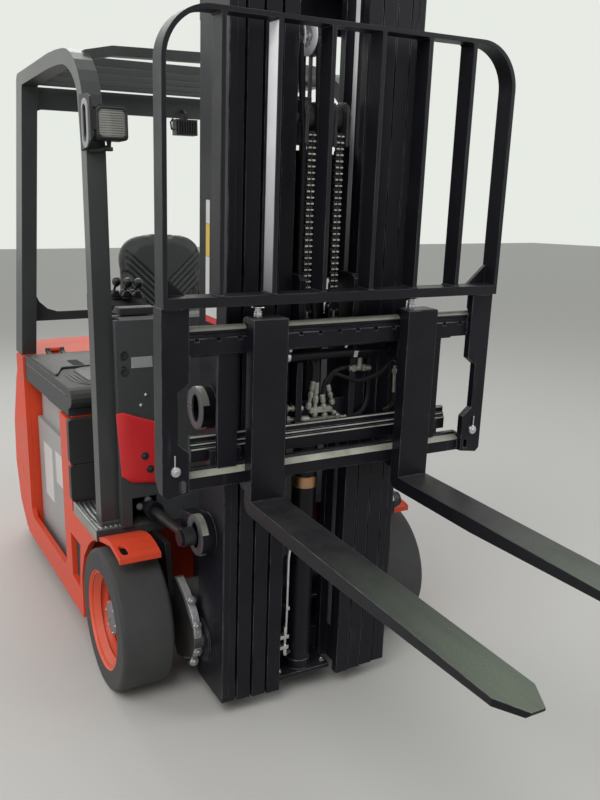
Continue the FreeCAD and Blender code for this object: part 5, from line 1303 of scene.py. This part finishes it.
class TRUCK_OT_wheels(bpy.types.Operator):
    """Wheel nuts, hub caps, rim lips and the rings of the tyres' sidewalls"""

    bl_idname = "truck.wheels"
    bl_label = "Wheels"

    def execute(self, context):
        sizes = context.scene.truck_sizes
        for side, s in (("right", -1), ("left", 1)):
            body = "wheel_front_" + side
            seeds = []
            for k in range(8):
                a = math.radians(22.5 + 45 * k)
                seeds.append(((s * 475.2, 473 + 80 * math.cos(a), 229 + 80 * math.sin(a)), (s, 0, 0)))
            bolts("nuts_" + side, seeds, body, sizes.nut_radius * 760, 12, "nut with painted edge highlight", washer=1.25, stud=0.62)
            cap = Stock()
            cap.lathe([(0, 37), (14, 36.6), (32, 34), (42, 32), (46, 31), (52, 30.6), (55, 29), (56, 26), (56, 0), (0, 0)],
                      (s * 493, 473, 229), (s, 0, 0), 40)
            cap.lathe([(0, 40), (7, 39.6), (8, 38.6), (8, 30), (0, 30)], (s * 493, 473, 229), (s, 0, 0), 20)
            cap.done("hub_cap_" + side, body, "hub grey", "steel")
            seeds = []
            for k in range(6):
                a = math.radians(10 + 60 * k)
                seeds.append(((s * 523.4, 473 + 49 * math.cos(a), 229 + 49 * math.sin(a)), (s, 0, 0)))
            bolts("hub_screws_" + side, seeds, body, 4.2, 3.4, "zinc", washer=1.1)
            lip = Stock()
            lip.lathe([(158, 43), (161.4, 44), (163.0, 48), (163.4, 53.6), (161.6, 55.6), (158.8, 54), (156.6, 49),
                       (156, 44), (158, 43)], (s * 497, 473, 229), (s, 0, 0), 72)
            lip.lathe([(140, -6), (146, -4), (150, 4), (152, 20), (152.6, 30), (151, 30), (150, 20), (148, 5),
                       (144, -2), (138, -5), (140, -6)], (s * 497, 473, 229), (s, 0, 0), 64)
            # The lips wear a lighter copy of the rim paint: a painted highlight.
            lip.done("rim_lip_" + side, body, "rim edge highlight", "rim_orange")
            wall = Stock()
            for r, w in ((178, 2.2), (186, 1.6), (204, 1.8), (214, 2.4)):
                wall.lathe([(r - w, -0.6), (r - w * 0.6, 0.7), (r + w * 0.6, 0.7), (r + w, -0.6), (r - w, -0.6)],
                           (s * 552.0, 473, 229), (s, 0, 0), 72)
            wall.done("tyre_rings_" + side, body, "tyre ring", "tyre")
        hubs = Stock()
        for s in (-1, 1):
            hubs.lathe([(0, 10), (20, 9), (30, 6), (33, 0), (0, 0)], (s * 112, 1903, 190), (s, 0, 0), 32)
        hubs.done("rear_hub_caps", "wheel_rear", "hub grey", "steel")
        return {"FINISHED"}


class TRUCK_OT_steps(bpy.types.Operator):
    """Ribbed alloy treads on both sills and the ribbed floor mat"""

    bl_idname = "truck.steps"
    bl_label = "Steps"

    def execute(self, context):
        tread = Stock()
        for k in range(6):
            rings = []
            for j in range(15):
                t = j / 14.0
                y = 566 + t * 282
                x = -436 - k * 16.4 - 7.5 * math.sin(t * math.pi)
                rings.append([(x - 5.2, y, 500.4), (x - 3.8, y, 504.2), (x - 1.3, y, 505.6), (x + 1.3, y, 505.6),
                              (x + 3.8, y, 504.2), (x + 5.2, y, 500.4)])
            tread.loft(rings)
        for j in range(24):
            y = 560 + j * 12.2
            tread.prism([(y, 500.4), (y + 10.6, 500.4), (y + 9.0, 507.6), (y + 1.6, 507.6)], 0, -537.5, -530.5)
        tread.block(-537.6, -429, 556, 852, 500.2, 501.6)
        tread.mirrored()
        tread.done("step_treads", "chassis", "alloy tread", "steel")
        mat = Stock()
        for k in range(22):
            x = -400 + k * 38.1
            mat.prism([(x - 7, 500.3), (x - 5, 503.4), (x + 5, 503.4), (x + 7, 500.3)], 1, 566, 850)
        mat.done("floor_mat", "chassis", "rubber", "tyre")
        edge = Stock()
        edge.block(-538.0, -536.6, 556, 852, 462, 499)
        edge.mirrored()
        edge.done("step_side_strips", "chassis", "tread side", "steel", bevel=0.4)
        return {"FINISHED"}


class TRUCK_OT_chassis_fittings(bpy.types.Operator):
    """Hoses and plugs in the cowl openings, grille mesh, front covers, cowl screws, plates and rivets"""

    bl_idname = "truck.chassis_fittings"
    bl_label = "Chassis fittings"

    def execute(self, context):
        hose = Stock()
        for n, (x0, z0) in enumerate(((-352, 566), (-378, 558), (-402, 570))):
            line = []
            for k in range(25):
                t = k / 24.0
                line.append(Vector((x0 + 18 * math.sin(t * 3.0 + n), 560 + 110 * t, z0 - 26 * math.sin(t * 2.4))))
            hose.tube(line, [9.0 + 1.6 * (k % 2) for k in range(25)], 12)
        hose.mirrored()
        hose.done("cowl_hoses", "chassis", "hose rubber", "cover_plastic")
        mesh = Stock()
        low_x, high_x, y0, y1, z0, z1 = mm_box("side_grilles")
        step = 11.0
        for s in (-1, 1):
            for way in (-1, 1):
                count = int((y1 - y0 + z1 - z0) / step)
                for k in range(1, count):
                    shift = k * step
                    ends = []
                    for y in (y0, y1):
                        z = z0 + (shift - (y - y0) if way < 0 else (y - y0) - (y1 - y0) + shift)
                        if z0 <= z <= z1:
                            ends.append((y, z))
                    for z in (z0, z1):
                        y = y0 + (shift - (z - z0) if way < 0 else (z - z0) + (y1 - y0) - shift)
                        if y0 < y < y1:
                            ends.append((y, z))
                    if len(ends) == 2:
                        mesh.bar((s * (high_x + 0.4), *ends[0]), (s * (high_x + 0.4), *ends[1]), 1.5, 5)
        mesh.done("grille_mesh", "chassis", "grille", "black_plastic")
        ends = Stock()
        for x, z in ((-352, 572), (-380, 552)):
            ends.lathe([(0, 40), (9, 39), (11.5, 36), (11.5, 31), (9.5, 30), (9.5, 27), (11.5, 26), (11.5, 20), (9.5, 19),
                        (9.5, 16), (11.5, 15), (11.5, 8), (9, 6), (9, 0), (0, 0)], (x, 566, z), (-0.35, -0.62, 0.30), 24)
        ends.mirrored()
        ends.done("cowl_plugs", "chassis", "grey plug", "cover_plastic")
        cover = Stock()
        for z0, z1 in ((503, 638), (641, 803)):
            cover.prism(rounded(-540.5, 540.5, z0, z1, 12, 3), 1, 858, 888)
        cover.prism(rounded(-60, 60, 655, 700, 12, 3), 1, 856.4, 858)
        cover.done("front_covers", "chassis", "black moulding", "black_plastic", bevel=3.0, segments=3)
        clip = Stock()
        for s in (-1, 1):
            clip.bar((s * 363, 540.5, 938), (s * 363, 536, 938), 6, 16)
            clip.bar((s * 380, 540.5, 906), (s * 380, 536, 906), 6, 16)
            clip.hexagon((s * 363, 536.2, 938), (0, -1, 0), 3.6, 1.6)
            clip.hexagon((s * 380, 536.2, 906), (0, -1, 0), 3.6, 1.6)
        clip.done("cowl_screws", "chassis", "zinc", "steel")
        plates = Stock()
        for s in (-1, 1):
            plates.prism([(s * 408, 1028), (s * 338, 1028), (s * 338, 1063), (s * 408, 1063)], 1, 538.6, 540.2)
        plates.done("cowl_plates", "chassis", "lamp plate", "steel", bevel=0.5)
        seeds = [((s * x, 538.7, z), (0, -1, 0)) for s in (-1, 1) for x, z in ((403, 1032), (343, 1059))]
        bolts("cowl_plate_rivets", seeds, "chassis", 1.8, 1.2, "zinc", washer=1.0)
        dimples = Stock()
        for s in (-1, 1):
            for z in (1018, 1072):
                dimples.lathe([(0, 1.5), (9, 1.5), (12, 2.4), (14, 1.4), (14, 0), (0, 0)], (s * 431, 540.2, z), (0, -1, 0), 24)
        dimples.done("cowl_plugs_round", "chassis", "black moulding", "cover_plastic")
        return {"FINISHED"}


class TRUCK_OT_side_panels(bpy.types.Operator):
    """Moulded red panels beside the mast, with their screws"""

    bl_idname = "truck.side_panels"
    bl_label = "Side panels"

    def execute(self, context):
        outer = [(-464, 885), (-441, 889), (-404, 874), (-338, 850), (-338, 640), (-419, 652), (-452, 676)]
        inner = [(-428, 862), (-420, 868), (-398, 862), (-340, 840), (-340, 652), (-398, 664), (-408, 690)]
        panel = Stock()
        rings = []
        for level, mix in ((539.9, 0.0), (534.0, 0.03), (529.5, 0.35), (527.2, 0.75), (526.2, 1.0)):
            rings.append([(a[0] * (1 - mix) + b[0] * mix, level, a[1] * (1 - mix) + b[1] * mix)
                          for a, b in zip(outer, inner)])
        panel.loft(rings)
        panel.mirrored()
        red = panel.done("red_panels", "chassis", "panel red", "red_plastic", bevel=3.5, segments=4, smooth=50)
        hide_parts("cowl_panels")
        seeds = [((s * x, 526.3, z), (0, -1, 0)) for s in (-1, 1) for x, z in ((377, 740), (360, 694))]
        bolts("panel_bolts", seeds, "chassis", 8, 5, "nut with painted edge highlight", washer=1.6, stud=0.35)
        return {"FINISHED"}


# ---- hood and cab ------------------------------------------------------------------------


def rounded(x0, x1, y0, y1, r, steps=6):
    """A rectangle with round corners, as points."""
    out = []
    for cx, cy, start in ((x1 - r, y1 - r, 0), (x0 + r, y1 - r, 90), (x0 + r, y0 + r, 180), (x1 - r, y0 + r, 270)):
        for k in range(steps + 1):
            a = math.radians(start + 90.0 * k / steps)
            out.append((cx + r * math.cos(a), cy + r * math.sin(a)))
    return out


def raised(stock, outline, z0, z1, inset):
    """A raised panel with a soft shoulder."""
    count = len(outline)
    middle = Vector((sum(p[0] for p in outline) / count, sum(p[1] for p in outline) / count))
    rings = []
    for level, pull in ((z0, 0.0), (z0 + (z1 - z0) * 0.55, 0.0), (z0 + (z1 - z0) * 0.9, inset * 0.4), (z1, inset)):
        ring = []
        for p in outline:
            v = Vector(p) - middle
            v = v * (1.0 - pull / max(v.length, 1.0))
            ring.append((middle.x + v.x, middle.y + v.y, level))
        rings.append(ring)
    stock.loft(rings)


class TRUCK_OT_hood_fittings(bpy.types.Operator):
    """Deck pads, nose, nose ridges, vent slot and edge of the hood, battery latches"""

    bl_idname = "truck.hood_fittings"
    bl_label = "Hood fittings"

    def execute(self, context):
        pad = Stock()
        for s, middle in ((-1, -236), (1, 276)):
            outline = [(s * 522, 1120), (s * 519, 1108), (s * 510, 1112), (s * 470, 1226), (s * 458, 1240),
                       (middle, 1244), (middle, 1560), (s * 500, 1560), (s * 515, 1552), (s * 522, 1536)]
            raised(pad, outline if s < 0 else list(reversed(outline)), 910.5, 921, 7)
        pad.done("hood_pads", "hood", "hood pad", "cover_plastic", smooth=50)
        nose = Stock()
        raised(nose, rounded(-436, 436, 926, 1234, 70), 910.5, 917, 9)
        nose.done("hood_nose", "hood", "hood nose", "cover_plastic", smooth=50)
        # The vent slot is a near black sheet on the deck: painted shade in place of the opening.
        slot = Stock()
        slot.prism(rounded(-416, -374, 1250, 1372, 8), 2, 920.4, 922.0)
        slot.done("hood_slot", "hood", "painted slot shade", "cover_plastic", bevel=0.5)
        ridge = Stock()
        for s in (-1, 1):
            for r in (84, 101, 118):
                line = [(s * 120, 996 - r, 911.4), (s * 240, 996 - r, 911.6)]
                for k in range(19):
                    a = math.radians(5 * k)
                    line.append((s * (366 + r * math.sin(a)), 996 - r * math.cos(a), 911.8))
                line += [(s * (366 + r), 1060, 911.6), (s * (366 + r), 1104, 911.0)]
                ridge.tube(line, 3.6, 8)
            ridge.tube([(s * 529.8, 905, 880), (s * 530.4, 960, 881), (s * 530.4, 1560, 881), (s * 529.8, 1612, 880)], 2.4, 8)
        ridge.done("hood_ridges", "hood", "hood nose", "cover_plastic")
        latch = Stock()
        for s in (-1, 1):
            latch.block(s * 476, s * 494, 1120, 1390, 766.4, 771)
            latch.block(s * 480, s * 494, 1128, 1160, 771, 784)
            latch.block(s * 480, s * 494, 1350, 1384, 771, 784)
            latch.bar((s * 488, 1160, 778), (s * 488, 1350, 778), 4.5, 12)
        latch.done("battery_latches", "chassis", "black moulding", "black_plastic", bevel=0.8)
        return {"FINISHED"}


def mm_box(node):
    """A node's box in drawing millimetres."""
    low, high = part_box(node)
    return (low[0] * 1000, high[0] * 1000, low[1] * 1000 - SHIFT_Y, high[1] * 1000 - SHIFT_Y,
            low[2] * 1000, high[2] * 1000)


def swollen(name, outline, axis, low, high, round_off, cap, frames=20, voxel=0.006, pressure=4.0):
    """A cushion: a slightly small slab, remeshed, blown up as cloth and held within a cap."""
    stock = Stock()
    stock.prism(outline, axis, low, high)
    bm = stock.bm
    bmesh.ops.recalc_face_normals(bm, faces=bm.faces[:])
    flat = [e for e in bm.edges if e.is_manifold and e.calc_face_angle() > math.radians(40)]
    bmesh.ops.bevel(bm, geom=flat, offset=round_off, segments=4, profile=0.6, affect="EDGES", clamp_overlap=True)
    for v in bm.verts:
        v.co = at(v.co)
    mesh = bpy.data.meshes.new(name)
    bm.to_mesh(mesh)
    bm.free()
    pad = bpy.data.objects.new(name, mesh)
    scene = bpy.context.scene
    scene.collection.objects.link(pad)
    bpy.context.view_layer.objects.active = pad
    pad.select_set(True)
    remesh = pad.modifiers.new("Remesh", "REMESH")
    remesh.mode = "VOXEL"
    remesh.voxel_size = voxel
    bpy.ops.object.modifier_apply(modifier=remesh.name)
    start = [v.co.copy() for v in pad.data.vertices]
    cloth = pad.modifiers.new("Cloth", "CLOTH")
    settings = cloth.settings
    settings.quality = 6
    settings.mass = 0.3
    settings.tension_stiffness = 18
    settings.compression_stiffness = 18
    settings.bending_stiffness = 1.2
    settings.use_pressure = True
    settings.uniform_pressure_force = pressure
    settings.effector_weights.gravity = 0.0
    cloth.collision_settings.use_collision = False
    cloth.point_cache.frame_start = 1
    cloth.point_cache.frame_end = frames
    for f in range(1, frames + 1):
        scene.frame_set(f)
    bpy.ops.object.modifier_apply(modifier=cloth.name)
    scene.frame_set(1)
    floor = min(p.z for p in start)
    for v, p in zip(pad.data.vertices, start):
        move = v.co - p
        if move.length > cap:
            move *= cap / move.length
        v.co = p + move
        v.co.z = max(v.co.z, floor)
    finer = pad.modifiers.new("Subdivision", "SUBSURF")
    finer.levels = 1
    finer.render_levels = 1
    bpy.ops.object.modifier_apply(modifier=finer.name)
    pad.select_set(False)
    return pad


def sewn(pad, face, line, depth, width):
    """Presses seams into the side of a pad that faces along face: line gives the distance to one."""
    reach = [v.co.dot(face) for v in pad.data.vertices]
    level = min(reach) + (max(reach) - min(reach)) * 0.55
    for v in pad.data.vertices:
        if v.co.dot(face) > level:
            v.co -= face * (math.exp(-(line(v.co) / width) ** 2) * depth)


class TRUCK_OT_seat(bpy.types.Operator):
    """Seat cushion and back, swollen as cloth, with sewn V channels and flutes"""

    bl_idname = "truck.seat"
    bl_label = "Seat"

    def execute(self, context):
        cap = context.scene.truck_sizes.seat_cap
        x0, x1, y0, y1, z0, z1 = mm_box("seat_cushion")
        mid = (x0 + x1) / 2.0
        half = (x1 - x0) / 2.0 - 12
        outline = [(mid - half, y0 + 70), (mid - half + 34, y0 + 14), (mid + half - 34, y0 + 14), (mid + half, y0 + 70),
                   (mid + half - 6, y1 - 12), (mid - half + 6, y1 - 12)]
        cushion = swollen("seat_pad", outline, 2, z0 + 1, z1 - 15, 24, cap)
        bx0, bx1, by0, by1, bz0, bz1 = mm_box("seat_back")
        half = (bx1 - bx0) / 2.0 - 12
        outline = []
        for k in range(25):
            t = math.radians(180 - 7.5 * k)
            squareness = 0.62
            c = math.copysign(abs(math.cos(t)) ** squareness, math.cos(t))
            outline.append((mid + half * c, bz1 - 150 + 138 * math.sin(t) ** 0.8))
        outline += [(mid + half + 2, bz0 + 130), (mid + half - 20, bz0 + 4), (mid - half + 20, bz0 + 4),
                    (mid - half - 2, bz0 + 130)]
        rear = swollen("seat_back_pad", outline, 1, by0 + 13, by1 - 14, 20, cap * 0.7, pressure=3.0)
        centre = mid / 1000.0
        bottom, top = bz0 / 1000.0, bz1 / 1000.0
        waist = bottom + (top - bottom) * 0.45

        def back_seams(p):
            a = abs(p.x - centre)
            if a > 0.158:
                return abs(a - 0.166)
            slope = (p.z - waist) - (a - 0.03) * 0.95
            if slope > 0.035:
                return 1.0
            if slope > -0.11 and a > 0.03:
                return abs(slope / 0.028 - round(slope / 0.028)) * 0.028
            return abs(a / 0.026 - round(a / 0.026)) * 0.026

        def seat_seams(p):
            a = abs(p.x - centre)
            if a > 0.17:
                return abs(a - 0.178)
            depth = p.y - (y0 + SHIFT_Y) / 1000.0 - 0.35 * a
            if depth < 0.06:
                return 1.0
            return abs(depth / 0.042 - round(depth / 0.042)) * 0.042

        sewn(cushion, Vector((0, 0, 1)), seat_seams, 0.006, 0.0058)
        sewn(rear, Vector((0, -1, 0)), back_seams, 0.0065, 0.0055)
        for pad, node in ((cushion, "seat_cushion"), (rear, "seat_back")):
            pad.data.materials.clear()
            pad.data.materials.append(FINISHES["vinyl"])
            soften(pad.data, 70)
            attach(pad, "hood")
            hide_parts(node)
        return {"FINISHED"}


class TRUCK_OT_cab_fittings(bpy.types.Operator):
    """Lever knobs and boots, the pod's edge, display and pedals"""

    bl_idname = "truck.cab_fittings"
    bl_label = "Cab fittings"

    def execute(self, context):
        knobs, boots = Stock(), Stock()
        for x, y, z in ((-338, 902, 1270), (-304, 880, 1268), (-272, 862, 1266)):
            knobs.lathe([(0, 17), (6, 16.4), (12, 13), (15.6, 6), (16.2, 0), (14.6, -7), (10, -13), (6, -17), (0, -17)],
                        (x, y, z), (0.0, -0.25, 0.97), 24)
            boots.lathe([(24, 0), (23, 3), (18, 5), (20, 9), (15, 11), (17, 15), (11, 17), (12, 21), (7, 24), (0, 24)],
                        (x, y + 14, 1215.5), (0, -0.2, 1), 24)
        knobs.done("lever_knobs", "hood", "gloss black", "black_plastic")
        boots.done("lever_boots", "hood", "hose rubber", "black_plastic")
        pod = Stock()
        raised(pod, rounded(-366, -256, 920, 1168, 22), 1215.4, 1220, 6)
        pod.done("pod_top", "hood", "hood nose", "black_plastic", smooth=50)
        dash = Stock()
        dash.prism([(600, 1187), (600, 1212), (660, 1212), (700, 1187)], 0, -420, -300)
        dash.done("dash_display", "chassis", "black moulding", "black_plastic", bevel=4, segments=3)
        pedals = Stock()
        for x0, x1, z in ((110, 180, 560), (220, 300, 560)):
            pedals.loft([[(x0, 600 + t * 90, z + t * 46), (x1, 600 + t * 90, z + t * 46), (x1, 604 + t * 90, z - 8 + t * 46),
                          (x0, 604 + t * 90, z - 8 + t * 46)] for t in (0.0, 0.5, 1.0)])
            pedals.bar(((x0 + x1) / 2, 610, 556), ((x0 + x1) / 2, 610, 501), 7, 12)
            for k in range(6):
                t = 0.1 + k * 0.15
                pedals.block(x0 + 4, x1 - 4, 600 + t * 90, 606 + t * 90, z - 1 + t * 46, z + 4 + t * 46)
        pedals.done("pedals", "chassis", "rubber", "black_plastic", bevel=0.8)
        return {"FINISHED"}


class TRUCK_OT_lamps(bpy.types.Operator):
    """Lenses, bezels and brackets of the work lamps, and the struts behind them"""

    bl_idname = "truck.lamps"
    bl_label = "Lamps"

    def execute(self, context):
        glass, bezel, bracket, grip = Stock(), Stock(), Stock(), Stock()
        for s in (-1, 1):
            xa, xb = sorted((s * 400, s * 486))
            outline = rounded(xa, xb, 1724, 1808, 12)
            glass.prism(outline, 1, 537.0, 539.8)
            for k in range(11):
                z = 1731 + k * 7.0
                glass.prism([(xa + 5, z), (xb - 5, z), (xb - 5, z + 3.6), (xa + 5, z + 3.6)], 1, 535.6, 537.2)
            rings = []
            for inset, y in ((-1, 541), (-4, 538), (-4, 533.5), (0, 531.5), (3, 533.5), (3, 537.0)):
                rings.append([(p[0], y, p[1]) for p in rounded(xa + inset, xb - inset, 1724 + inset, 1808 - inset, 13)])
            bezel.loft(rings, caps=False)
            for cx, cz in ((xa + 6, 1730), (xb - 6, 1730), (xa + 6, 1802), (xb - 6, 1802)):
                bracket.bar((cx, 536, cz), (cx, 530.8, cz), 2.4, 10)
            bracket.tube([(s * 443, 575, 1718), (s * 443, 575, 1700), (s * 470, 580, 1690), (s * 498, 590, 1690)], 8, 10)
            bracket.hexagon((s * 443, 575, 1700), (0, 0, -1), 12, 12)
            ring = [(y, z) for y, z in rounded(548, 616, 1696, 1836, 30)]
            hole = [(y, z) for y, z in rounded(560, 604, 1712, 1820, 20)]
            grip.loft([[(s * 509.0, y, z) for y, z in ring], [(s * 512.0, y, z) for y, z in ring],
                       [(s * 513.0, y, z) for y, z in hole], [(s * 509.2, y, z) for y, z in hole]], caps=False)
        glass.done("lamp_lenses", "chassis", "lamp glass", "steel")
        bezel.done("lamp_bezels", "chassis", "black moulding", "black_plastic")
        bracket.done("lamp_brackets", "chassis", "black moulding", "black_plastic")
        grip.done("lamp_plates", "chassis", "lamp plate", "anthracite", smooth=50)
        fins = Stock()
        for k in range(8):
            fins.block(138 + k * 11.2, 142 + k * 11.2, 1519, 1528.6, 1834, 1886)
        fins.tube([(180, 1536, 1890), (180, 1536, 1912), (180, 1560, 1926), (180, 1580, 1930)], 7, 10)
        fins.tube([(136, 1560, 1850), (122, 1560, 1852), (118, 1560, 1880), (130, 1560, 1896)], 4, 8)
        fins.done("rear_lamp_fins", "chassis", "black moulding", "black_plastic", bevel=0.6)
        lens = Stock()
        lens.prism(rounded(138, 222, 1833, 1887, 8), 1, 1578.0, 1580.4)
        lens.done("rear_lamp_lens", "chassis", "lamp glass", "steel", bevel=0.8)
        return {"FINISHED"}


class TRUCK_OT_labels(bpy.types.Operator):
    """Blank generic labels on mast, battery and hood"""

    bl_idname = "truck.labels"
    bl_label = "Blank labels"

    def execute(self, context):
        yellow, plain, red = Stock(), Stock(), Stock()
        yellow.block(-294.9, -294.1, 222, 248, 1409, 1496)
        yellow.done("mast_label_yellow", "mast_1", "yellow label", "steel", True)
        plain.block(-294.9, -294.1, 222, 248, 1290, 1408)
        plain.block(-294.9, -294.1, 222, 248, 1497, 1560)
        plain.block(-294.9, -294.1, 170, 246, 1244, 1286)
        plain.done("mast_label_plain", "mast_1", "blank label", "steel", True)
        red.block(-294.9, -294.1, 170, 246, 1226, 1243)
        red.done("mast_label_red", "mast_1", "panel red", "red_plastic", True)
        case = Stock()
        for s in (-1, 1):
            case.block(s * 492.1, s * 492.8, 1190, 1310, 440, 570)
            case.block(s * 492.1, s * 492.8, 1370, 1520, 330, 560)
        case.done("battery_labels", "chassis", "blank label", "steel")
        return {"FINISHED"}


# ---- the stage ---------------------------------------------------------------------------


def flat_finish(name, colour, rough):
    """A plain finish for the floor."""
    material = bpy.data.materials.new(name)
    material.use_nodes = True
    shader = material.node_tree.nodes["Principled BSDF"]
    shader.inputs["Base Color"].default_value = rgba(colour)
    shader.inputs["Roughness"].default_value = rough
    return material


class TRUCK_OT_stage(bpy.types.Operator):
    """Floor, light and the camera at the photographed angle"""

    bl_idname = "truck.stage"
    bl_label = "Stage"

    def execute(self, context):
        scene = context.scene
        floor = bpy.data.meshes.new("floor")
        floor.from_pydata([(-30, -30, 0), (30, -30, 0), (30, 30, 0), (-30, 30, 0)], [], [(0, 1, 2, 3)])
        ground = bpy.data.objects.new("floor", floor)
        scene.collection.objects.link(ground)
        floor.materials.append(flat_finish("floor grey", (0.52, 0.51, 0.49), 0.62))

        lamps = (
            ("key", (-3.2, -3.4, 5.2), (0.0, -0.2, 0.8), 3.4, 205.0, (1.0, 0.99, 0.97)),
            ("fill", (4.2, -3.0, 3.4), (0.0, 0.0, 0.9), 3.2, 80.0, (0.97, 0.985, 1.0)),
            ("back", (0.5, 4.6, 4.8), (0.0, 0.2, 0.9), 3.4, 105.0, (1.0, 1.0, 1.0)),
            ("side", (-4.6, 3.4, 2.2), (0.0, -0.2, 1.1), 2.8, 62.0, (0.98, 0.97, 1.0)),
        )
        for name, where, aim, size, power, colour in lamps:
            light = bpy.data.lights.new(name, "AREA")
            light.shape = "SQUARE"
            light.size = size
            light.energy = power
            light.color = colour
            lamp = bpy.data.objects.new(name, light)
            scene.collection.objects.link(lamp)
            lamp.location = where
            lamp.rotation_euler = (Vector(aim) - Vector(where)).to_track_quat("-Z", "Y").to_euler()

        world = bpy.data.worlds.new("studio")
        scene.world = world
        world.use_nodes = True
        tree = world.node_tree
        tree.nodes.clear()
        w = Wires(tree)
        out = w.node("ShaderNodeOutputWorld")
        seen, lit = w.node("ShaderNodeBackground"), w.node("ShaderNodeBackground")
        seen.inputs["Color"].default_value = (0.80, 0.83, 0.78, 1.0)
        lit.inputs["Color"].default_value = (0.93, 0.96, 0.95, 1.0)
        lit.inputs["Strength"].default_value = 0.5
        path = w.node("ShaderNodeLightPath")
        sight = w.maths("MAXIMUM", path.outputs["Is Camera Ray"], path.outputs["Is Glossy Ray"])
        sight = w.maths("MAXIMUM", sight, path.outputs["Is Transmission Ray"])
        blend = w.node("ShaderNodeMixShader")
        w.join(sight, blend.inputs[0])
        w.join(lit.outputs[0], blend.inputs[1])
        w.join(seen.outputs[0], blend.inputs[2])
        w.join(blend.outputs[0], out.inputs["Surface"])

        data = bpy.data.cameras.new("camera")
        data.sensor_fit = "VERTICAL"
        data.sensor_height = 36.0
        data.lens = 847.731 * 36.0 / 800.0
        data.clip_end = 200.0
        camera = bpy.data.objects.new("camera", data)
        scene.collection.objects.link(camera)
        yaw, pitch, roll = (math.radians(a) for a in (28.7808, 12.6727, 0.6108))
        ahead = Vector((math.sin(yaw) * math.cos(pitch), math.cos(yaw) * math.cos(pitch), -math.sin(pitch)))
        right = Vector((math.cos(yaw), -math.sin(yaw), 0.0))
        up = right.cross(ahead)
        across = right * math.cos(roll) + up * math.sin(roll)
        above = up * math.cos(roll) - right * math.sin(roll)
        turn = Matrix((across, above, -ahead)).transposed().to_4x4()
        camera.matrix_world = Matrix.Translation(at((-1207.99, -2025.19, 1523.56))) @ turn
        scene.camera = camera
        scene.view_settings.view_transform = "Standard"
        return {"FINISHED"}


class TRUCK_OT_finishes(bpy.types.Operator):
    """Builds every finish and puts it on the solids"""

    bl_idname = "truck.finishes"
    bl_label = "Finishes"

    def execute(self, context):
        build_finishes(context.scene.truck_colours)
        left = set(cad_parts)
        for name, members in WORN_BY.items():
            for node in members:
                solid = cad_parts[node]
                for slot in solid.material_slots:
                    slot.material = FINISHES[name]
                left.discard(node)
        if left:
            raise RuntimeError("solids with no finish: " + ", ".join(sorted(left)))
        return {"FINISHED"}


CLASSES = [TruckColours, TruckSizes, TRUCK_OT_stage, TRUCK_OT_finishes, TRUCK_OT_chains, TRUCK_OT_crosshead,
           TRUCK_OT_mast_fittings, TRUCK_OT_carriage_fittings, TRUCK_OT_fork_fittings, TRUCK_OT_wheels,
           TRUCK_OT_steps, TRUCK_OT_chassis_fittings, TRUCK_OT_side_panels, TRUCK_OT_hood_fittings, TRUCK_OT_seat,
           TRUCK_OT_cab_fittings, TRUCK_OT_lamps, TRUCK_OT_labels]
STEPS = [("truck.stage", "Stage"), ("truck.finishes", "Finishes"), ("truck.chains", "Lift chains"),
         ("truck.crosshead", "Crosshead"), ("truck.mast_fittings", "Mast fittings"),
         ("truck.carriage_fittings", "Carriage fittings"), ("truck.fork_fittings", "Fork fittings"),
         ("truck.wheels", "Wheels"), ("truck.steps", "Steps"), ("truck.chassis_fittings", "Chassis fittings"),
         ("truck.side_panels", "Side panels"), ("truck.hood_fittings", "Hood fittings"), ("truck.seat", "Seat"),
         ("truck.cab_fittings", "Cab fittings"), ("truck.lamps", "Lamps"), ("truck.labels", "Blank labels")]


class TRUCK_PT_panel(bpy.types.Panel):
    """Lists the steps that dress the truck"""

    bl_label = "Truck"
    bl_idname = "TRUCK_PT_panel"
    bl_space_type = "VIEW_3D"
    bl_region_type = "UI"
    bl_category = "Truck"

    def draw(self, context):
        column = self.layout.column(align=True)
        for name, label in STEPS:
            column.operator(name, text=label)
        for group in (context.scene.truck_colours, context.scene.truck_sizes):
            for key in group.bl_rna.properties.keys():
                if key not in ("rna_type", "name"):
                    self.layout.prop(group, key)


def register():
    for kind in CLASSES + [TRUCK_PT_panel]:
        bpy.utils.register_class(kind)
    bpy.types.Scene.truck_colours = bpy.props.PointerProperty(type=TruckColours)
    bpy.types.Scene.truck_sizes = bpy.props.PointerProperty(type=TruckSizes)


def unregister():
    del bpy.types.Scene.truck_sizes
    del bpy.types.Scene.truck_colours
    for kind in reversed(CLASSES + [TRUCK_PT_panel]):
        bpy.utils.unregister_class(kind)


def main():
    register()
    for name, _ in STEPS:
        family, step = name.split(".")
        getattr(getattr(bpy.ops, family), step)()


if __name__ == "__main__":
    main()
